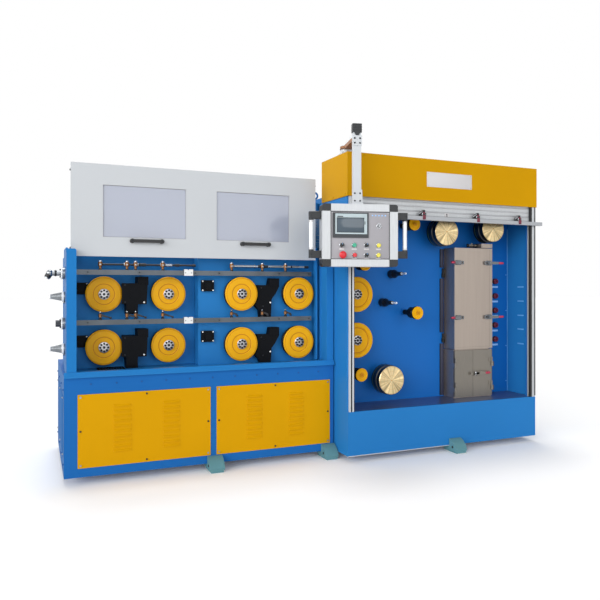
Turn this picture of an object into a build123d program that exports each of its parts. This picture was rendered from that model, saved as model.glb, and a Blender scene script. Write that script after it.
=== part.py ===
from build123d import *
import math
import os

# The wire drawing machine stands on Z = 0. While it is built, X = 0 is the left end of the
# base, Y = 0 its front face with +Y to the back. All sizes are in millimetres.

# Drawing section: base
base_length = 1744
base_depth = 1000
base_bottom = 44
base_top = 640
bay = base_length / 4
section_gap = 8
joint_pad_y = ((60, 180), (230, 350))
joint_pad_bottom = 190
joint_pad_top = 300
panel_side = (76, 29)
panel_between = 39
panel_width = (base_length - panel_side[0] - panel_side[1] - panel_between) / 2
panel_left_x = panel_side[0]
panel_right_x = base_length - panel_side[1] - panel_width
panel_bottom = 97
panel_height = base_top - panel_bottom - 109
panel_sheet = 3
panel_overlap = 20
panel_recess = 60
louvre_count = 10
louvre_margin = 67
louvre_pitch = (panel_height - 2 * louvre_margin) / louvre_count
louvre_start = louvre_margin + 15
louvre_width = 100
louvre_height = 13
louvre_proud = 7
louvre_slot = 9
louvre_lip = 3
louvre_sheet = 2
louvre_column_shares = (0.256, 0.625)

# Drawing section: chamber
sill_top = base_top + 24
sill_rim = 45
sill_reach = 20
sill_height = 32
floor_drop = 14
wall_plate = 10
left_wall_x = 14
left_wall_depth = 330
post_width = 56
post_depth = 50
right_wall_x = base_length - 50
back_left_y = 290
back_right_y = 170
back_step_x = bay * 1.922
housing_back_y = 750
boss_radius = 34
boss_depth = 12
drain_left_x = 205
drain_right_x = 368
drain_front_y = 120
drain_back_y = 268
drain_slots = 9

# Capstans
capstan_radius = 112
capstan_width = 52
capstan_left_x = (bay * 0.562, bay * 1.491)
capstan_right_x = (bay * 2.557, bay * 3.502)
capstan_lower_z = sill_top + 123
capstan_rows = 334
capstan_upper_z = capstan_lower_z + capstan_rows
capstan_left_front = 205
capstan_right_front = 98
chamber_top = capstan_upper_z + 243
left_wall_top = chamber_top + 36
post_top = chamber_top + 28
shaft_radius = 15
running_gap = 0.05
shaft_in_wall = 9

# Chamber cover and its guides
cover_left_x = 41
cover_right_x = base_length - 108
cover_front_y = 62
cover_bottom = chamber_top - 12
cover_top = cover_bottom + 560
cover_sheet = 3
cover_return = 25
window_margin = (184, 195)
window_between = 200
window_width = (cover_right_x - cover_left_x - window_margin[0] - window_margin[1] - window_between) / 2
window_left_x = (cover_left_x + window_margin[0], cover_right_x - window_margin[1] - window_width)
window_bottom = cover_bottom + 118
window_top = cover_top - 125
window_rim = 10
window_set_back = 8
window_sheet = 4
handle_length = 208
handle_offset = 8
handle_z = cover_bottom + 98
handle_bar = 20
handle_reach = 30
handle_thick = 11
handle_boss = 14
guide_depth = 40
guide_wall = 4
guide_left_width = 26
guide_left_wall = 3
guide_left_mouth = 10
guide_right_width = 40
guide_right_mouth = 20
guide_front_y = 94
guide_top = cover_top - 157
slide_gap = 0.5
slide_length = 260
slide_bottom = cover_bottom + 88
slide_plate = 2

# Spray rails and pipes
rail_front_y = 96
rail_thick = 10
rail_height = 31
rail_upper_z = capstan_upper_z + 120
rail_lower_z = capstan_lower_z + 147
rail_end_x = base_length - 124
rail_stay_radius = 6
rail_stays_left = (bay * 0.321, bay * 1.025, bay * 1.835)
rail_stays_right = (bay * 2.202, bay * 3.165, bay * 3.67)
joint_block_x = bay * 1.66
joint_block_length = 63
spray_pipe_z = rail_upper_z + 64
spray_pipe_y = 112
spray_pipe_radius = 6
spray_runs = ((bay * 0.468, bay * 1.826), (bay * 2.376, bay * 3.67))
valve_radius = 13
valve_neck = 7
valve_height = 46
valve_left_x = (bay * 0.489, bay * 0.853, bay * 0.972, bay * 1.36)
valve_right_x = (bay * 2.399, bay * 2.892, bay * 3.278)
lever_length = 36
lever_drop = 12
low_valve_y = 105
low_valve_radius = 11

# Die holders and sensor boxes
die_left_x = capstan_left_x[0] + 120
die_left_front = 172
die_lip = 22
die_right_x = capstan_right_x[0] + 108
die_right_front = 118
sensor_left_x = capstan_left_x[0] - 133
sensor_right_x = capstan_right_x[0] - 218
sensor_rise = (36, 54)
sensor_half = 42
sensor_half_height = 37
sensor_depth = 22
sensor_cap_radius = 22
sensor_cap_depth = 12

# Wire inlets on the left end
inlet_y = 180
inlet_rise = {"elbow": 129, "cone": 321, "stub": 157, "long cone": 4}
inlet_flange_radius = 36
inlet_flange_thick = 24
inlet_cone_radius = 30
inlet_tip_radius = 13
inlet_cone_length = 86
inlet_stub_length = 30
inlet_elbow_reach = 62
inlet_pipe_radius = 16

# Cabinet
cabinet_left_x = base_length + section_gap
cabinet_length = 1591
cabinet_right_x = cabinet_left_x + cabinet_length
cabinet_front_y = -205
cabinet_rear_y = 406
cabinet_wall = 10
plinth_bottom = 44
plinth_top = 330
plinth_lip = 8
plinth_sheet = 14
cabinet_back_y = 91
cabinet_top = 1800
roof_thick = 10
hood_bottom = cabinet_top - 30
hood_top = cabinet_top + 262
hood_back_y = 195
hood_sheet = 4
hood_overhang = 7
tray_thick = 8
tray_gap = 4

# Roller shutter
curtain_y = -190
curtain_thick = 10
curtain_bulge = 4
slat_height = 34
slat_count = 4
slat_round = 10
curtain_bottom = hood_bottom - 113
bar_front_y = cabinet_front_y - 31
bar_height = 26
bar_depth = 27
bar_bottom = curtain_bottom - 27
bar_left_x = cabinet_left_x + 23
bar_right_x = cabinet_right_x + 39
latch_half = 26
latch_height = 26
latch_radius = 11
latch_reach = 9
post_left_x = cabinet_left_x + 10
post_left_width = 34
post_right_width = 45
post_right_x = cabinet_right_x - 10 - post_right_width
guide_post_depth = 42
groove_width = 12
groove_depth = 7
curtain_slot_depth = 20
curtain_slot_gap = 1.5


def across(share):
    """A place along the cabinet, as a share of its length."""
    return cabinet_left_x + cabinet_length * share


def up(share):
    """A height in the cabinet, as a share of the space above the plinth."""
    return plinth_top + (cabinet_top - plinth_top) * share


latch_x = (across(0.3602), across(0.6499), across(0.8888))

# Wheels in the cabinet
big_wheel_radius = 122
big_wheel_front = -50
big_wheel_x = across(0.0962)
big_wheel_upper_z = up(0.5347)
big_wheel_lower_z = up(0.3177)
contact_radius = 100
contact_front = -95
contact_width = 112
contact_places = ((across(0.5443), up(0.8442)), (across(0.8095), up(0.8701)), (across(0.252), up(0.1238)))
small_radius = 46
small_width = 26
small_front = -100
small_drum_radius = 41
small_drum_back = -13
small_places = ((across(0.3696), up(0.8748)), (across(0.3853), up(0.4435)), (across(0.1012), up(0.1585)),
                (across(0.1182), up(0.6769)))
small_shaft_radius = 10

# Guide pins and knobs on the cabinet's back wall
pin_places = ((across(0.3174), up(0.634)), (across(0.2696), up(0.4932)))
pin_reach = 205
pin_base_radius = 30
knob_places = (up(0.6), up(0.5218), up(0.4442), up(0.3653), up(0.2898))
knob_radius = 21
knob_depth = 26
knob_flutes = 6

# Annealer column
annealer_left_x = across(0.6097)
annealer_right_x = annealer_left_x + 349
annealer_front_y = -44
annealer_bottom = plinth_top + tray_thick
annealer_split = annealer_bottom + 362
annealer_top = annealer_split + 760
knob_x = annealer_right_x + 134
tower_left_x = annealer_right_x - 103
tower_top = annealer_top + 36
tower_gap = 5
annealer_sheet = 4
core_gap = 8
core_right_gap = 24
hinge_radius = 9
hinge_pin_radius = 5
hinge_length = 70
lid_hinge_places = (annealer_top - 186, annealer_split + 80)
clamp_upper_z = annealer_top - 110
clamp_lower_z = annealer_split + 240
clamp_left_x = annealer_left_x + 30
clamp_right_x = annealer_right_x - 35
clamp_half_width = 24
clamp_half_height = 18
clamp_left_reach = 76
clamp_right_reach = 124
leaf_gap = 3
leaf_sheet = 4
leaf_split_x = annealer_left_x + 168
leaf_top = annealer_split - 7
leaf_bottom = annealer_bottom + 7
leaf_knuckle_radius = 5
leaf_pin_radius = 2.5
leaf_strap = 3
leaf_hinge_inset = 8
leaf_hinge_out = 6
leaf_hinge_places = (annealer_bottom + 82, annealer_split - 100)
leaf_clamp_z = annealer_bottom + 180

# Pendant, turned about its arm's pivot on the hood
pendant_turn = 14.2
post_x = cabinet_left_x - 14
post_y = -352
arm_length = 300
mount_height = 40
mount_radius = 42
mount_plate = 10
mount_flange = 13
arm_size = 46
arm_gap = 1
hub_height = 26
arm_end_rise = 94
pivot_pin_radius = 16
pendant_bottom = 1295
pendant_top = 1690
pendant_half_width = 245
pendant_offset = 13
pendant_front = -48
pendant_depth = 100
pendant_post_width = 52
pendant_post_depth = 34
post_cap_height = 56
post_cap_width = 60
post_cap_depth = 42
post_plate = 4
post_foot = 10
frame_side = 56
frame_edge = 49
corner_height = 46
corner_round = 16
panel_set_back = 6
grip_reach = 77
grip_block = 46
grip_block_depth = 36
grip_tube_radius = 13
grip_upper_z = pendant_top - 93
grip_lower_z = pendant_bottom + 55

# Feet and eyes
foot_places = (bay * 2.069, bay * 3.894, across(0.5355))
foot_width = 96
foot_base = 16
foot_top = 92
foot_tip = 26
foot_proud = 78
foot_under = 70
foot_seat = 0.5
eye_radius = 30
eye_wire = 7


def block(x0, x1, y0, y1, z0, z1):
    """A box between two corners."""
    return Pos(x0, y0, z0) * Box(x1 - x0, y1 - y0, z1 - z0, align=(Align.MIN, Align.MIN, Align.MIN))


def round_y(x, z, y0, y1, radius):
    """A cylinder along Y, from y0 to y1."""
    rod = Rot(X=-90) * Cylinder(radius, y1 - y0, align=(Align.CENTER, Align.CENTER, Align.MIN))
    return Pos(x, y0, z) * rod


def round_x(x0, x1, y, z, radius):
    """A cylinder along X, from x0 to x1."""
    rod = Rot(Y=90) * Cylinder(radius, x1 - x0, align=(Align.CENTER, Align.CENTER, Align.MIN))
    return Pos(x0, y, z) * rod


def round_z(x, y, z0, z1, radius):
    """A cylinder along Z, from z0 to z1."""
    return Pos(x, y, z0) * Cylinder(radius, z1 - z0, align=(Align.CENTER, Align.CENTER, Align.MIN))


def turned(points, x, z):
    """A turned piece about a line along Y; the points are (radius, y)."""
    face = make_face(Polyline(*points, close=True))
    return Pos(x, 0, z) * revolve(face, Axis.Y)


def turned_up(points, x, y):
    """A turned piece about an upright line; the points are (radius, z)."""
    face = make_face(Polyline(*[(r, 0, z) for r, z in points], close=True))
    return Pos(x, y, 0) * revolve(face, Axis.Z)


def plan(points, z0, z1):
    """An upright piece with a plan outline of (x, y) points."""
    face = make_face(Polyline(*points, close=True))
    return Pos(0, 0, z0) * extrude(face, z1 - z0)


def side_profile(points, x0, x1):
    """A piece with a side outline of (y, z) points, drawn out from x0 to x1."""
    face = make_face(Polyline(*[(x0, y, z) for y, z in points], close=True))
    return extrude(face, x1 - x0, dir=(1, 0, 0))


def front_profile(points, y0, y1):
    """A piece with a front outline of (x, z) points, drawn out from y0 to y1."""
    face = make_face(Polyline(*[(x, y0, z) for x, z in points], close=True))
    return extrude(face, y1 - y0, dir=(0, 1, 0))


def group(*solids):
    """Like pieces that share a node."""
    return Compound(children=[s for piece in solids for s in piece.solids()])


def louvre(left, right, z):
    """One pressed louvre: a thin hood with closed ends, open along its lower edge."""
    front = -panel_sheet
    outer_front = front - louvre_proud
    inner_front = outer_front + louvre_sheet
    hood = side_profile([(front, z + louvre_height), (outer_front, z + louvre_lip), (outer_front, z - 1),
                         (inner_front, z - 1), (inner_front, z + louvre_lip - 1), (front, z + louvre_slot)],
                        left, right)
    for x0, x1 in ((left, left + louvre_sheet), (right - louvre_sheet, right)):
        hood += side_profile([(front, z + louvre_height), (outer_front, z + louvre_lip), (outer_front, z - 1),
                              (front, z - 1)], x0, x1)
    return hood


def louvred_panel(x0):
    """A yellow sheet with two columns of pressed louvres."""
    panel = block(x0, x0 + panel_width, -panel_sheet, 0, panel_bottom, panel_bottom + panel_height)
    for share in louvre_column_shares:
        left = x0 + panel_width * share
        right = left + louvre_width
        for n in range(louvre_count):
            z = panel_bottom + louvre_start + n * louvre_pitch
            panel -= block(left + louvre_sheet, right - louvre_sheet, -panel_sheet, 0, z, z + louvre_slot)
            panel += louvre(left, right, z)
    return panel


def base_parts():
    frame = block(0, base_length, 0, base_depth, base_bottom, base_top)
    for x0 in (panel_left_x, panel_right_x):
        frame -= block(x0 + panel_overlap, x0 + panel_width - panel_overlap, 0, panel_recess,
                       panel_bottom + panel_overlap, panel_bottom + panel_height - panel_overlap)
    for y0, y1 in joint_pad_y:
        frame += block(base_length, cabinet_left_x, y0, y1, joint_pad_bottom, joint_pad_top)
    panels = group(louvred_panel(panel_left_x), louvred_panel(panel_right_x))
    return {"base_frame": frame, "base_panels": panels}


def capstan_places():
    """Every capstan as (x, z, front, wall), upper row first, left to right."""
    left = [(x, capstan_left_front, back_left_y) for x in capstan_left_x]
    right = [(x, capstan_right_front, back_right_y) for x in capstan_right_x]
    return [(x, z, front, wall) for z in (capstan_upper_z, capstan_lower_z) for x, front,
            wall in left + right]


def drain_grille():
    """A slotted sheet on the floor of the chamber pan."""
    bottom = sill_top - floor_drop
    grille = block(drain_left_x, drain_right_x, drain_front_y, drain_back_y, bottom, bottom + 5)
    pitch = (drain_right_x - drain_left_x) / (drain_slots + 1)
    for n in range(drain_slots):
        x = drain_left_x + pitch * (n + 1)
        grille -= block(x - 4, x + 4, drain_front_y + 10, drain_back_y - 10, bottom, bottom + 5)
    return grille


def chamber_parts():
    inner = left_wall_x + wall_plate
    floor_edge = [(inner, 0), (base_length, 0), (base_length, back_right_y), (back_step_x, back_right_y),
                  (back_step_x, back_left_y), (inner, back_left_y)]
    floor = plan(floor_edge, base_top, sill_top)
    pan = [(left_wall_x + post_width, sill_rim), (right_wall_x - 4, sill_rim),
           (right_wall_x - 4, back_right_y),
           (back_step_x, back_right_y), (back_step_x, back_left_y), (left_wall_x + post_width, back_left_y)]
    floor -= plan(pan, sill_top - floor_drop, sill_top)
    floor -= block(inner, left_wall_x + post_width, 0, post_depth, base_top, sill_top)
    lip = [(0, sill_top), (-4, sill_top), (-sill_reach, sill_top - sill_height + 6),
           (-sill_reach, sill_top - sill_height), (0, sill_top - sill_height)]
    floor += side_profile(lip, 0, base_length)

    post = block(left_wall_x, left_wall_x + post_width, 0, post_depth, base_top, post_top)
    post = fillet(post.edges().filter_by(Axis.Y).sort_by(Axis.Z)[-2:], 12)
    plate = block(left_wall_x, inner, post_depth - 14, left_wall_depth, base_top, left_wall_top)
    plate = fillet(plate.edges().filter_by(Axis.X).sort_by(Axis.Z)[-2:], 14)
    left_wall = post + plate

    right_wall = block(right_wall_x, right_wall_x + wall_plate, 20, back_right_y, sill_top, chamber_top)
    right_wall += block(right_wall_x, base_length, 0, 20, sill_top, chamber_top)
    right_wall += block(base_length - 14, base_length, 20, 60, sill_top, chamber_top)

    wall_edge = [(inner, back_left_y), (back_step_x, back_left_y), (back_step_x, back_right_y),
                 (base_length, back_right_y), (base_length, back_right_y + wall_plate),
                 (back_step_x + wall_plate, back_right_y + wall_plate),
                 (back_step_x + wall_plate, back_left_y + wall_plate), (inner, back_left_y + wall_plate)]
    back_wall = plan(wall_edge, base_top, chamber_top)
    for x, z, front, wall in capstan_places():
        back_wall += round_y(x, z, wall - boss_depth, wall, boss_radius)
    for x, z, front, wall in capstan_places():
        back_wall -= round_y(x, z, wall - boss_depth, wall + wall_plate, shaft_radius + running_gap)

    housing_edge = [(inner, back_left_y + wall_plate), (back_step_x + wall_plate, back_left_y + wall_plate),
                    (back_step_x + wall_plate, back_right_y + wall_plate),
                    (base_length, back_right_y + wall_plate),
                    (base_length, housing_back_y), (inner, housing_back_y)]
    housing = plan(housing_edge, base_top, chamber_top)
    return {"chamber_floor": floor, "drain_grille": drain_grille(), "chamber_left_wall": left_wall,
            "chamber_right_wall": right_wall, "chamber_back_wall": back_wall, "gear_housing": housing}


def capstan(x, z, front, wall):
    """A capstan turned in one piece with its shaft: stepped yellow face, drum and back flange."""
    r = capstan_radius
    back = front + capstan_width
    collar = wall - boss_depth - 5
    points = [(0, front - 6), (34, front - 6), (36, front + 2), (64, front + 2), (70, front - 1),
              (r - 8, front), (r - 2, front + 2), (r, front + 5), (r, front + 10), (r - 10, front + 14),
              (r - 12, front + 24), (r - 10, back - 10), (r - 2, back - 6), (r - 2, back), (40, back),
              (shaft_radius + 9, collar), (shaft_radius, collar), (shaft_radius, wall + shaft_in_wall),
              (0, wall + shaft_in_wall)]
    return turned(points, x, z)


def cover_handle(x0):
    """A pull handle: a flat bar on two round bosses."""
    x1 = x0 + handle_length
    front = cover_front_y - handle_reach
    low = handle_z - handle_bar / 2
    grip = block(x0 + 4, x1 - 4, front, front + handle_thick, low, low + handle_bar)
    grip = fillet(grip.edges().filter_by(Axis.Z), 4)
    for x in (x0 + handle_boss, x1 - handle_boss):
        boss = [(0, front - 1), (handle_boss - 2, front - 1), (handle_boss, front + 2),
                (handle_boss, front + handle_thick),
                (handle_boss - 3, cover_front_y - 4), (handle_boss, cover_front_y), (0, cover_front_y)]
        grip += turned(boss, x, handle_z)
    return grip


def cover_guide(left, width, wall, mouth):
    """A guide channel for the cover, open at the front, and the slide that runs in it."""
    right = left + width
    middle = left + width / 2
    back = guide_front_y + guide_depth
    channel = block(left, right, guide_front_y, back, sill_top, guide_top)
    channel -= block(left + wall, right - wall, guide_front_y + wall, back - wall, sill_top, guide_top)
    channel -= block(middle - mouth / 2, middle + mouth / 2, guide_front_y, guide_front_y + wall, sill_top,
                     guide_top)
    inner_half = width / 2 - wall - slide_gap
    neck_half = mouth / 2 - slide_gap
    slide_top = slide_bottom + slide_length
    inner_front = guide_front_y + wall + slide_gap
    plate_front = cover_front_y + cover_return
    slide = block(middle - inner_half, middle + inner_half, inner_front, back - wall - slide_gap,
                  slide_bottom, slide_top)
    slide += block(middle - neck_half, middle + neck_half, plate_front, inner_front, slide_bottom, slide_top)
    if middle < base_length / 2:
        slide += block(cover_left_x, cover_left_x + 60, plate_front, plate_front + slide_plate, slide_bottom,
                       slide_top)
    else:
        slide += block(cover_right_x - 60, middle + neck_half, plate_front, plate_front + slide_plate,
                       slide_bottom, slide_top)
    return channel, slide


def cover_parts():
    back = cover_front_y + cover_return
    panel = block(cover_left_x, cover_right_x, cover_front_y, back, cover_bottom, cover_top)
    panel -= block(cover_left_x + cover_sheet, cover_right_x - cover_sheet, cover_front_y + cover_sheet, back,
                   cover_bottom + cover_sheet, cover_top - cover_sheet)
    panes = []
    handles = []
    for x0 in window_left_x:
        x1 = x0 + window_width
        seat = cover_front_y + window_set_back
        panel += block(x0 - window_rim, x1 + window_rim, cover_front_y, seat,
                       window_bottom - window_rim, window_top + window_rim)
        panel -= block(x0, x1, cover_front_y, seat, window_bottom, window_top)
        panes.append(block(x0 - window_rim, x1 + window_rim, seat, seat + window_sheet,
                           window_bottom - window_rim, window_top + window_rim))
        handles.append(cover_handle((x0 + x1 - handle_length) / 2 + handle_offset))

    inner = left_wall_x + wall_plate
    left_channel, left_slide = cover_guide(cover_left_x + 4, guide_left_width, guide_left_wall,
                                           guide_left_mouth)
    right_channel, right_slide = cover_guide(right_wall_x - guide_right_width, guide_right_width, guide_wall,
                                             guide_right_mouth)
    for z in (sill_top + 60, capstan_lower_z + capstan_rows / 2, left_wall_top - 80):
        left_channel += block(inner, cover_left_x + 4, guide_front_y + 8, guide_front_y + guide_depth - 8, z,
                              z + 40)
    return {"cover_panel": panel, "cover_windows": group(*panes), "cover_handles": group(*handles),
            "cover_slides": group(left_slide, right_slide),
            "cover_guides": group(left_channel, right_channel)}


def spray_valve(x):
    """A valve of the upper pipe: turned body, neck down to the rail and cap."""
    top = spray_pipe_z + 18
    rail_top = rail_upper_z + rail_height
    points = [(0, rail_top), (valve_radius - 2, rail_top), (valve_radius - 2, rail_top + 5),
              (valve_neck, rail_top + 8),
              (valve_neck, spray_pipe_z - 14), (valve_radius, spray_pipe_z - 12), (valve_radius, top - 8),
              (valve_neck + 2, top - 6), (valve_neck + 2, top), (0, top)]
    return turned_up(points, x, rail_front_y + rail_thick / 2 + 3)


def spray_tap(x):
    """A tap on the lower rail: turned body and a flat lever that slants down to the right."""
    z0 = rail_lower_z + rail_height
    top = z0 + valve_height
    r = low_valve_radius
    points = [(0, z0), (r, z0), (r, z0 + 7), (r - 5, z0 + 10), (r - 5, z0 + 18), (r - 1, z0 + 20),
              (r - 1, z0 + 36),
              (r - 6, z0 + 39), (r - 6, top), (0, top)]
    lever = front_profile([(x, z0 + 26), (x + lever_length, z0 + 26 - lever_drop),
                           (x + lever_length + 3, z0 + 34 - lever_drop), (x + 3, z0 + 34)],
                          rail_front_y - 1, rail_front_y + 8)
    return turned_up(points, x, low_valve_y) + lever


def spray_parts():
    rails = []
    rail_left = cover_left_x + 4 + guide_left_width
    rail_back = rail_front_y + rail_thick
    stays = [(x, back_left_y) for x in rail_stays_left] + [(x, back_right_y) for x in rail_stays_right]
    for z0 in (rail_upper_z, rail_lower_z):
        rail = block(rail_left, rail_end_x, rail_front_y, rail_back, z0, z0 + rail_height)
        rail += block(joint_block_x, joint_block_x + joint_block_length, rail_front_y - 4, rail_back + 4,
                      z0 - 2, z0 + rail_height + 8)
        rail -= front_profile([(joint_block_x + joint_block_length / 2 - 7, z0 + rail_height + 8),
                               (joint_block_x + joint_block_length / 2, z0 + rail_height),
                               (joint_block_x + joint_block_length / 2 + 7, z0 + rail_height + 8)],
                              rail_front_y - 4, rail_back + 4)
        for x, wall in stays:
            rail += round_y(x, z0 + rail_height / 2, rail_back, wall, rail_stay_radius)
        rails.append(rail)

    pipes = []
    for (x0, x1), places in zip(spray_runs, (valve_left_x, valve_right_x)):
        line = round_x(x0, x1, spray_pipe_y, spray_pipe_z, spray_pipe_radius)
        for x in places:
            line += spray_valve(x)
        pipes.append(line)
    for x in valve_left_x + valve_right_x:
        pipes.append(spray_tap(x))
    return {"spray_rails": group(*rails), "spray_pipes": group(*pipes)}


def left_die_holder(z, foot):
    """The black die holder between the left capstans: plate, raised corner block and stem to the foot."""
    x = die_left_x
    front = die_left_front
    plate = [(x + 84, z - 64), (x + 138, z - 64), (x + 146, z + 69)]
    stem = [(x, z + 69), (x, z - 61), (x + 12, z - 61), (x + 16, foot), (x + 88, foot)]
    holder = front_profile(stem + plate, front + die_lip, back_left_y)
    short_stem = [(x - 14, z + 69), (x - 14, z - 61), (x + 12, z - 61), (x + 14, z - 118), (x + 82, z - 118)]
    holder += front_profile(short_stem + plate, front, front + die_lip)
    corner = [(x + 82, z + 69), (x + 82, z + 111), (x + 148, z + 111), (x + 148, z + 58), (x + 138, z + 58),
              (x + 138, z + 69)]
    holder += front_profile(corner, front - 7, back_left_y)
    holder += round_y(x + 66, z + 4, front - 3, front, 34)
    return holder


def right_die_holder(z, foot):
    """The black die holder between the right capstans: slanted plate, raised corner block and stem."""
    x = die_right_x
    front = die_right_front
    outline = [(x + 2, z + 59), (x + 12, z + 36), (x + 12, z - 36), (x - 8, z - 76), (x + 24, z - 112),
               (x + 31, foot), (x + 105, foot), (x + 111, z - 36),
               (x + 140, z + 1), (x + 166, z + 50), (x + 166, z + 105), (x + 98, z + 105), (x + 88, z + 59)]
    holder = front_profile(outline, front, back_right_y)
    holder += front_profile([(x + 94, z + 48), (x + 94, z + 98), (x + 160, z + 98), (x + 160, z + 52)],
                            front - 6, front)
    holder += round_y(x + 56, z - 8, front - 3, front, 32)
    return holder


def die_parts():
    holders = []
    for z, stem_end, floor_end in ((capstan_upper_z, capstan_upper_z - 127, capstan_upper_z - 178),
                                   (capstan_lower_z, sill_top - floor_drop, sill_top - floor_drop)):
        holders.append(left_die_holder(z, stem_end))
        holders.append(right_die_holder(z, floor_end))
    boxes = []
    for x, wall, rise in ((sensor_left_x, back_left_y, sensor_rise[0]),
                          (sensor_right_x, back_right_y, sensor_rise[1])):
        for row in (capstan_upper_z, capstan_lower_z):
            z = row + rise
            box = block(x - sensor_half, x + sensor_half, wall - sensor_depth, wall,
                        z - sensor_half_height, z + sensor_half_height)
            box = fillet(box.edges().filter_by(Axis.Y), 6)
            box += round_y(x, z, wall - sensor_depth - sensor_cap_depth, wall - sensor_depth,
                           sensor_cap_radius)
            boxes.append(box)
    return {"die_holders": group(*holders), "sensor_boxes": group(*boxes)}


def inlet_parts():
    wall = left_wall_x
    face = wall - inlet_flange_thick
    elbow_z = capstan_upper_z + inlet_rise["elbow"]
    elbow = round_x(face, wall, inlet_y, elbow_z, inlet_flange_radius)
    elbow += round_x(face - inlet_elbow_reach, face, inlet_y, elbow_z, inlet_pipe_radius)
    bend = Pos(face - inlet_elbow_reach, inlet_y, elbow_z)
    elbow += bend * Sphere(inlet_pipe_radius + 5)
    nozzle = Cylinder(inlet_pipe_radius, 36, align=(Align.CENTER, Align.CENTER, Align.MIN))
    elbow += bend * (Rot(Y=-150) * nozzle)

    cones = []
    for z in (capstan_lower_z + inlet_rise["cone"], capstan_lower_z + inlet_rise["long cone"]):
        outline = [(0, 0), (inlet_cone_radius, 0), (inlet_cone_radius, 16), (inlet_cone_radius - 3, 20),
                   (inlet_tip_radius, inlet_cone_length), (0, inlet_cone_length)]
        cone = revolve(make_face(Polyline(*outline, close=True)), Axis.Y)
        cone = Pos(wall, inlet_y, z) * (Rot(Z=90) * cone)
        cone += round_x(wall - 12, wall, inlet_y, z - inlet_cone_radius - 5, 7)
        cones.append(cone)

    stub_z = capstan_lower_z + inlet_rise["stub"]
    stub = round_x(face, wall, inlet_y, stub_z, inlet_flange_radius)
    hexagon = extrude(RegularPolygon(20, 6), inlet_stub_length)
    stub += Pos(face, inlet_y, stub_z) * (Rot(Y=-90) * hexagon)
    return {"wire_inlets": group(elbow, cones[0], stub, cones[1])}


def cabinet_parts():
    left = cabinet_left_x
    right = cabinet_right_x
    front = cabinet_front_y
    inner_left = left + cabinet_wall
    inner_right = right - cabinet_wall
    plinth = block(left, right, front, cabinet_rear_y, plinth_bottom, plinth_top)
    plinth += block(left, right, front, front + plinth_sheet, plinth_top, plinth_top + plinth_lip)
    walls = group(block(left, inner_left, front + plinth_sheet, cabinet_rear_y, plinth_top, cabinet_top),
                  block(inner_right, right, front + plinth_sheet, cabinet_rear_y, plinth_top, cabinet_top))
    back = block(inner_left, inner_right, cabinet_back_y, cabinet_back_y + wall_plate, plinth_top,
                 cabinet_top)
    for x, z, radius, front_y, width, bore in turning_places():
        back += round_y(x, z, cabinet_back_y - boss_depth, cabinet_back_y, bore + 15)
    for x, z, radius, front_y, width, bore in turning_places():
        back -= round_y(x, z, cabinet_back_y - boss_depth, cabinet_back_y + wall_plate, bore + running_gap)
    housing = block(inner_left, inner_right, cabinet_back_y + wall_plate, cabinet_rear_y, plinth_top,
                    cabinet_top)
    roof_top = cabinet_top + roof_thick
    roof = block(left, right, front, cabinet_rear_y, cabinet_top, roof_top)
    hood_front = front - hood_overhang
    hood_left = left - hood_overhang
    hood_right = right + hood_overhang
    hood = block(hood_left, hood_right, hood_front, hood_back_y, hood_bottom, hood_top)
    hood -= block(left, right, hood_front + hood_sheet, hood_back_y, hood_bottom, roof_top)
    hood -= block(hood_left + hood_sheet, hood_right - hood_sheet, hood_front + hood_sheet,
                  hood_back_y - hood_sheet, roof_top, hood_top - hood_sheet)
    tray = block(inner_left + tray_gap, inner_right - tray_gap, front + plinth_sheet, cabinet_back_y,
                 plinth_top, plinth_top + tray_thick)
    for x0, width in ((post_left_x, post_left_width), (post_right_x, post_right_width)):
        tray -= block(x0, x0 + width, front + plinth_sheet, front + guide_post_depth,
                      plinth_top, plinth_top + tray_thick)
    return {"cabinet_plinth": plinth, "cabinet_side_walls": walls, "cabinet_back_wall": back,
            "cabinet_housing": housing, "cabinet_roof": roof, "shutter_hood": hood, "drip_tray": tray}


def shutter_parts():
    left = post_left_x + post_left_width - curtain_slot_depth + 2
    right = post_right_x + curtain_slot_depth - 2
    bulge = curtain_y - curtain_bulge
    curtain_back = curtain_y + curtain_thick
    outline = [(curtain_back, curtain_bottom), (curtain_y, curtain_bottom)]
    for n in range(slat_count):
        z0 = curtain_bottom + n * slat_height
        z1 = z0 + slat_height
        outline += [(bulge, z0 + slat_round), (bulge, z1 - slat_round), (curtain_y, z1)]
    outline += [(curtain_back, curtain_bottom + slat_count * slat_height)]
    curtain = side_profile(outline, left, right)

    bar_back = bar_front_y + bar_depth
    bar_top = bar_bottom + bar_height
    bar = block(bar_left_x, bar_right_x, bar_front_y, bar_back, bar_bottom, bar_top)
    bar += block(post_left_x + post_left_width, post_right_x, bar_back, curtain_back, bar_bottom + 4,
                 curtain_bottom)
    for x in latch_x:
        middle = bar_top + latch_height / 2
        bar += block(x - latch_half, x + latch_half, bar_front_y + 12, bar_back, bar_top,
                     bar_top + latch_height)
        bar += round_y(x, middle, bar_front_y + 12 - latch_reach, bar_front_y + 12, latch_radius)
    posts = []
    z0 = plinth_top + plinth_lip
    slot_front = bulge - curtain_slot_gap
    slot_back = curtain_back + curtain_slot_gap
    front = cabinet_front_y
    for x0, width, slot_x in ((post_left_x, post_left_width,
                               post_left_x + post_left_width - curtain_slot_depth),
                              (post_right_x, post_right_width, post_right_x)):
        post = block(x0, x0 + width, front, front + guide_post_depth, z0, hood_bottom)
        middle = x0 + width / 2
        post -= block(middle - groove_width / 2, middle + groove_width / 2, front, front + groove_depth, z0,
                      hood_bottom)
        post -= block(slot_x, slot_x + curtain_slot_depth, slot_front, slot_back, z0, hood_bottom)
        posts.append(post)
    return {"roller_shutter": curtain, "shutter_bar": bar, "guide_posts": group(*posts)}


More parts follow.
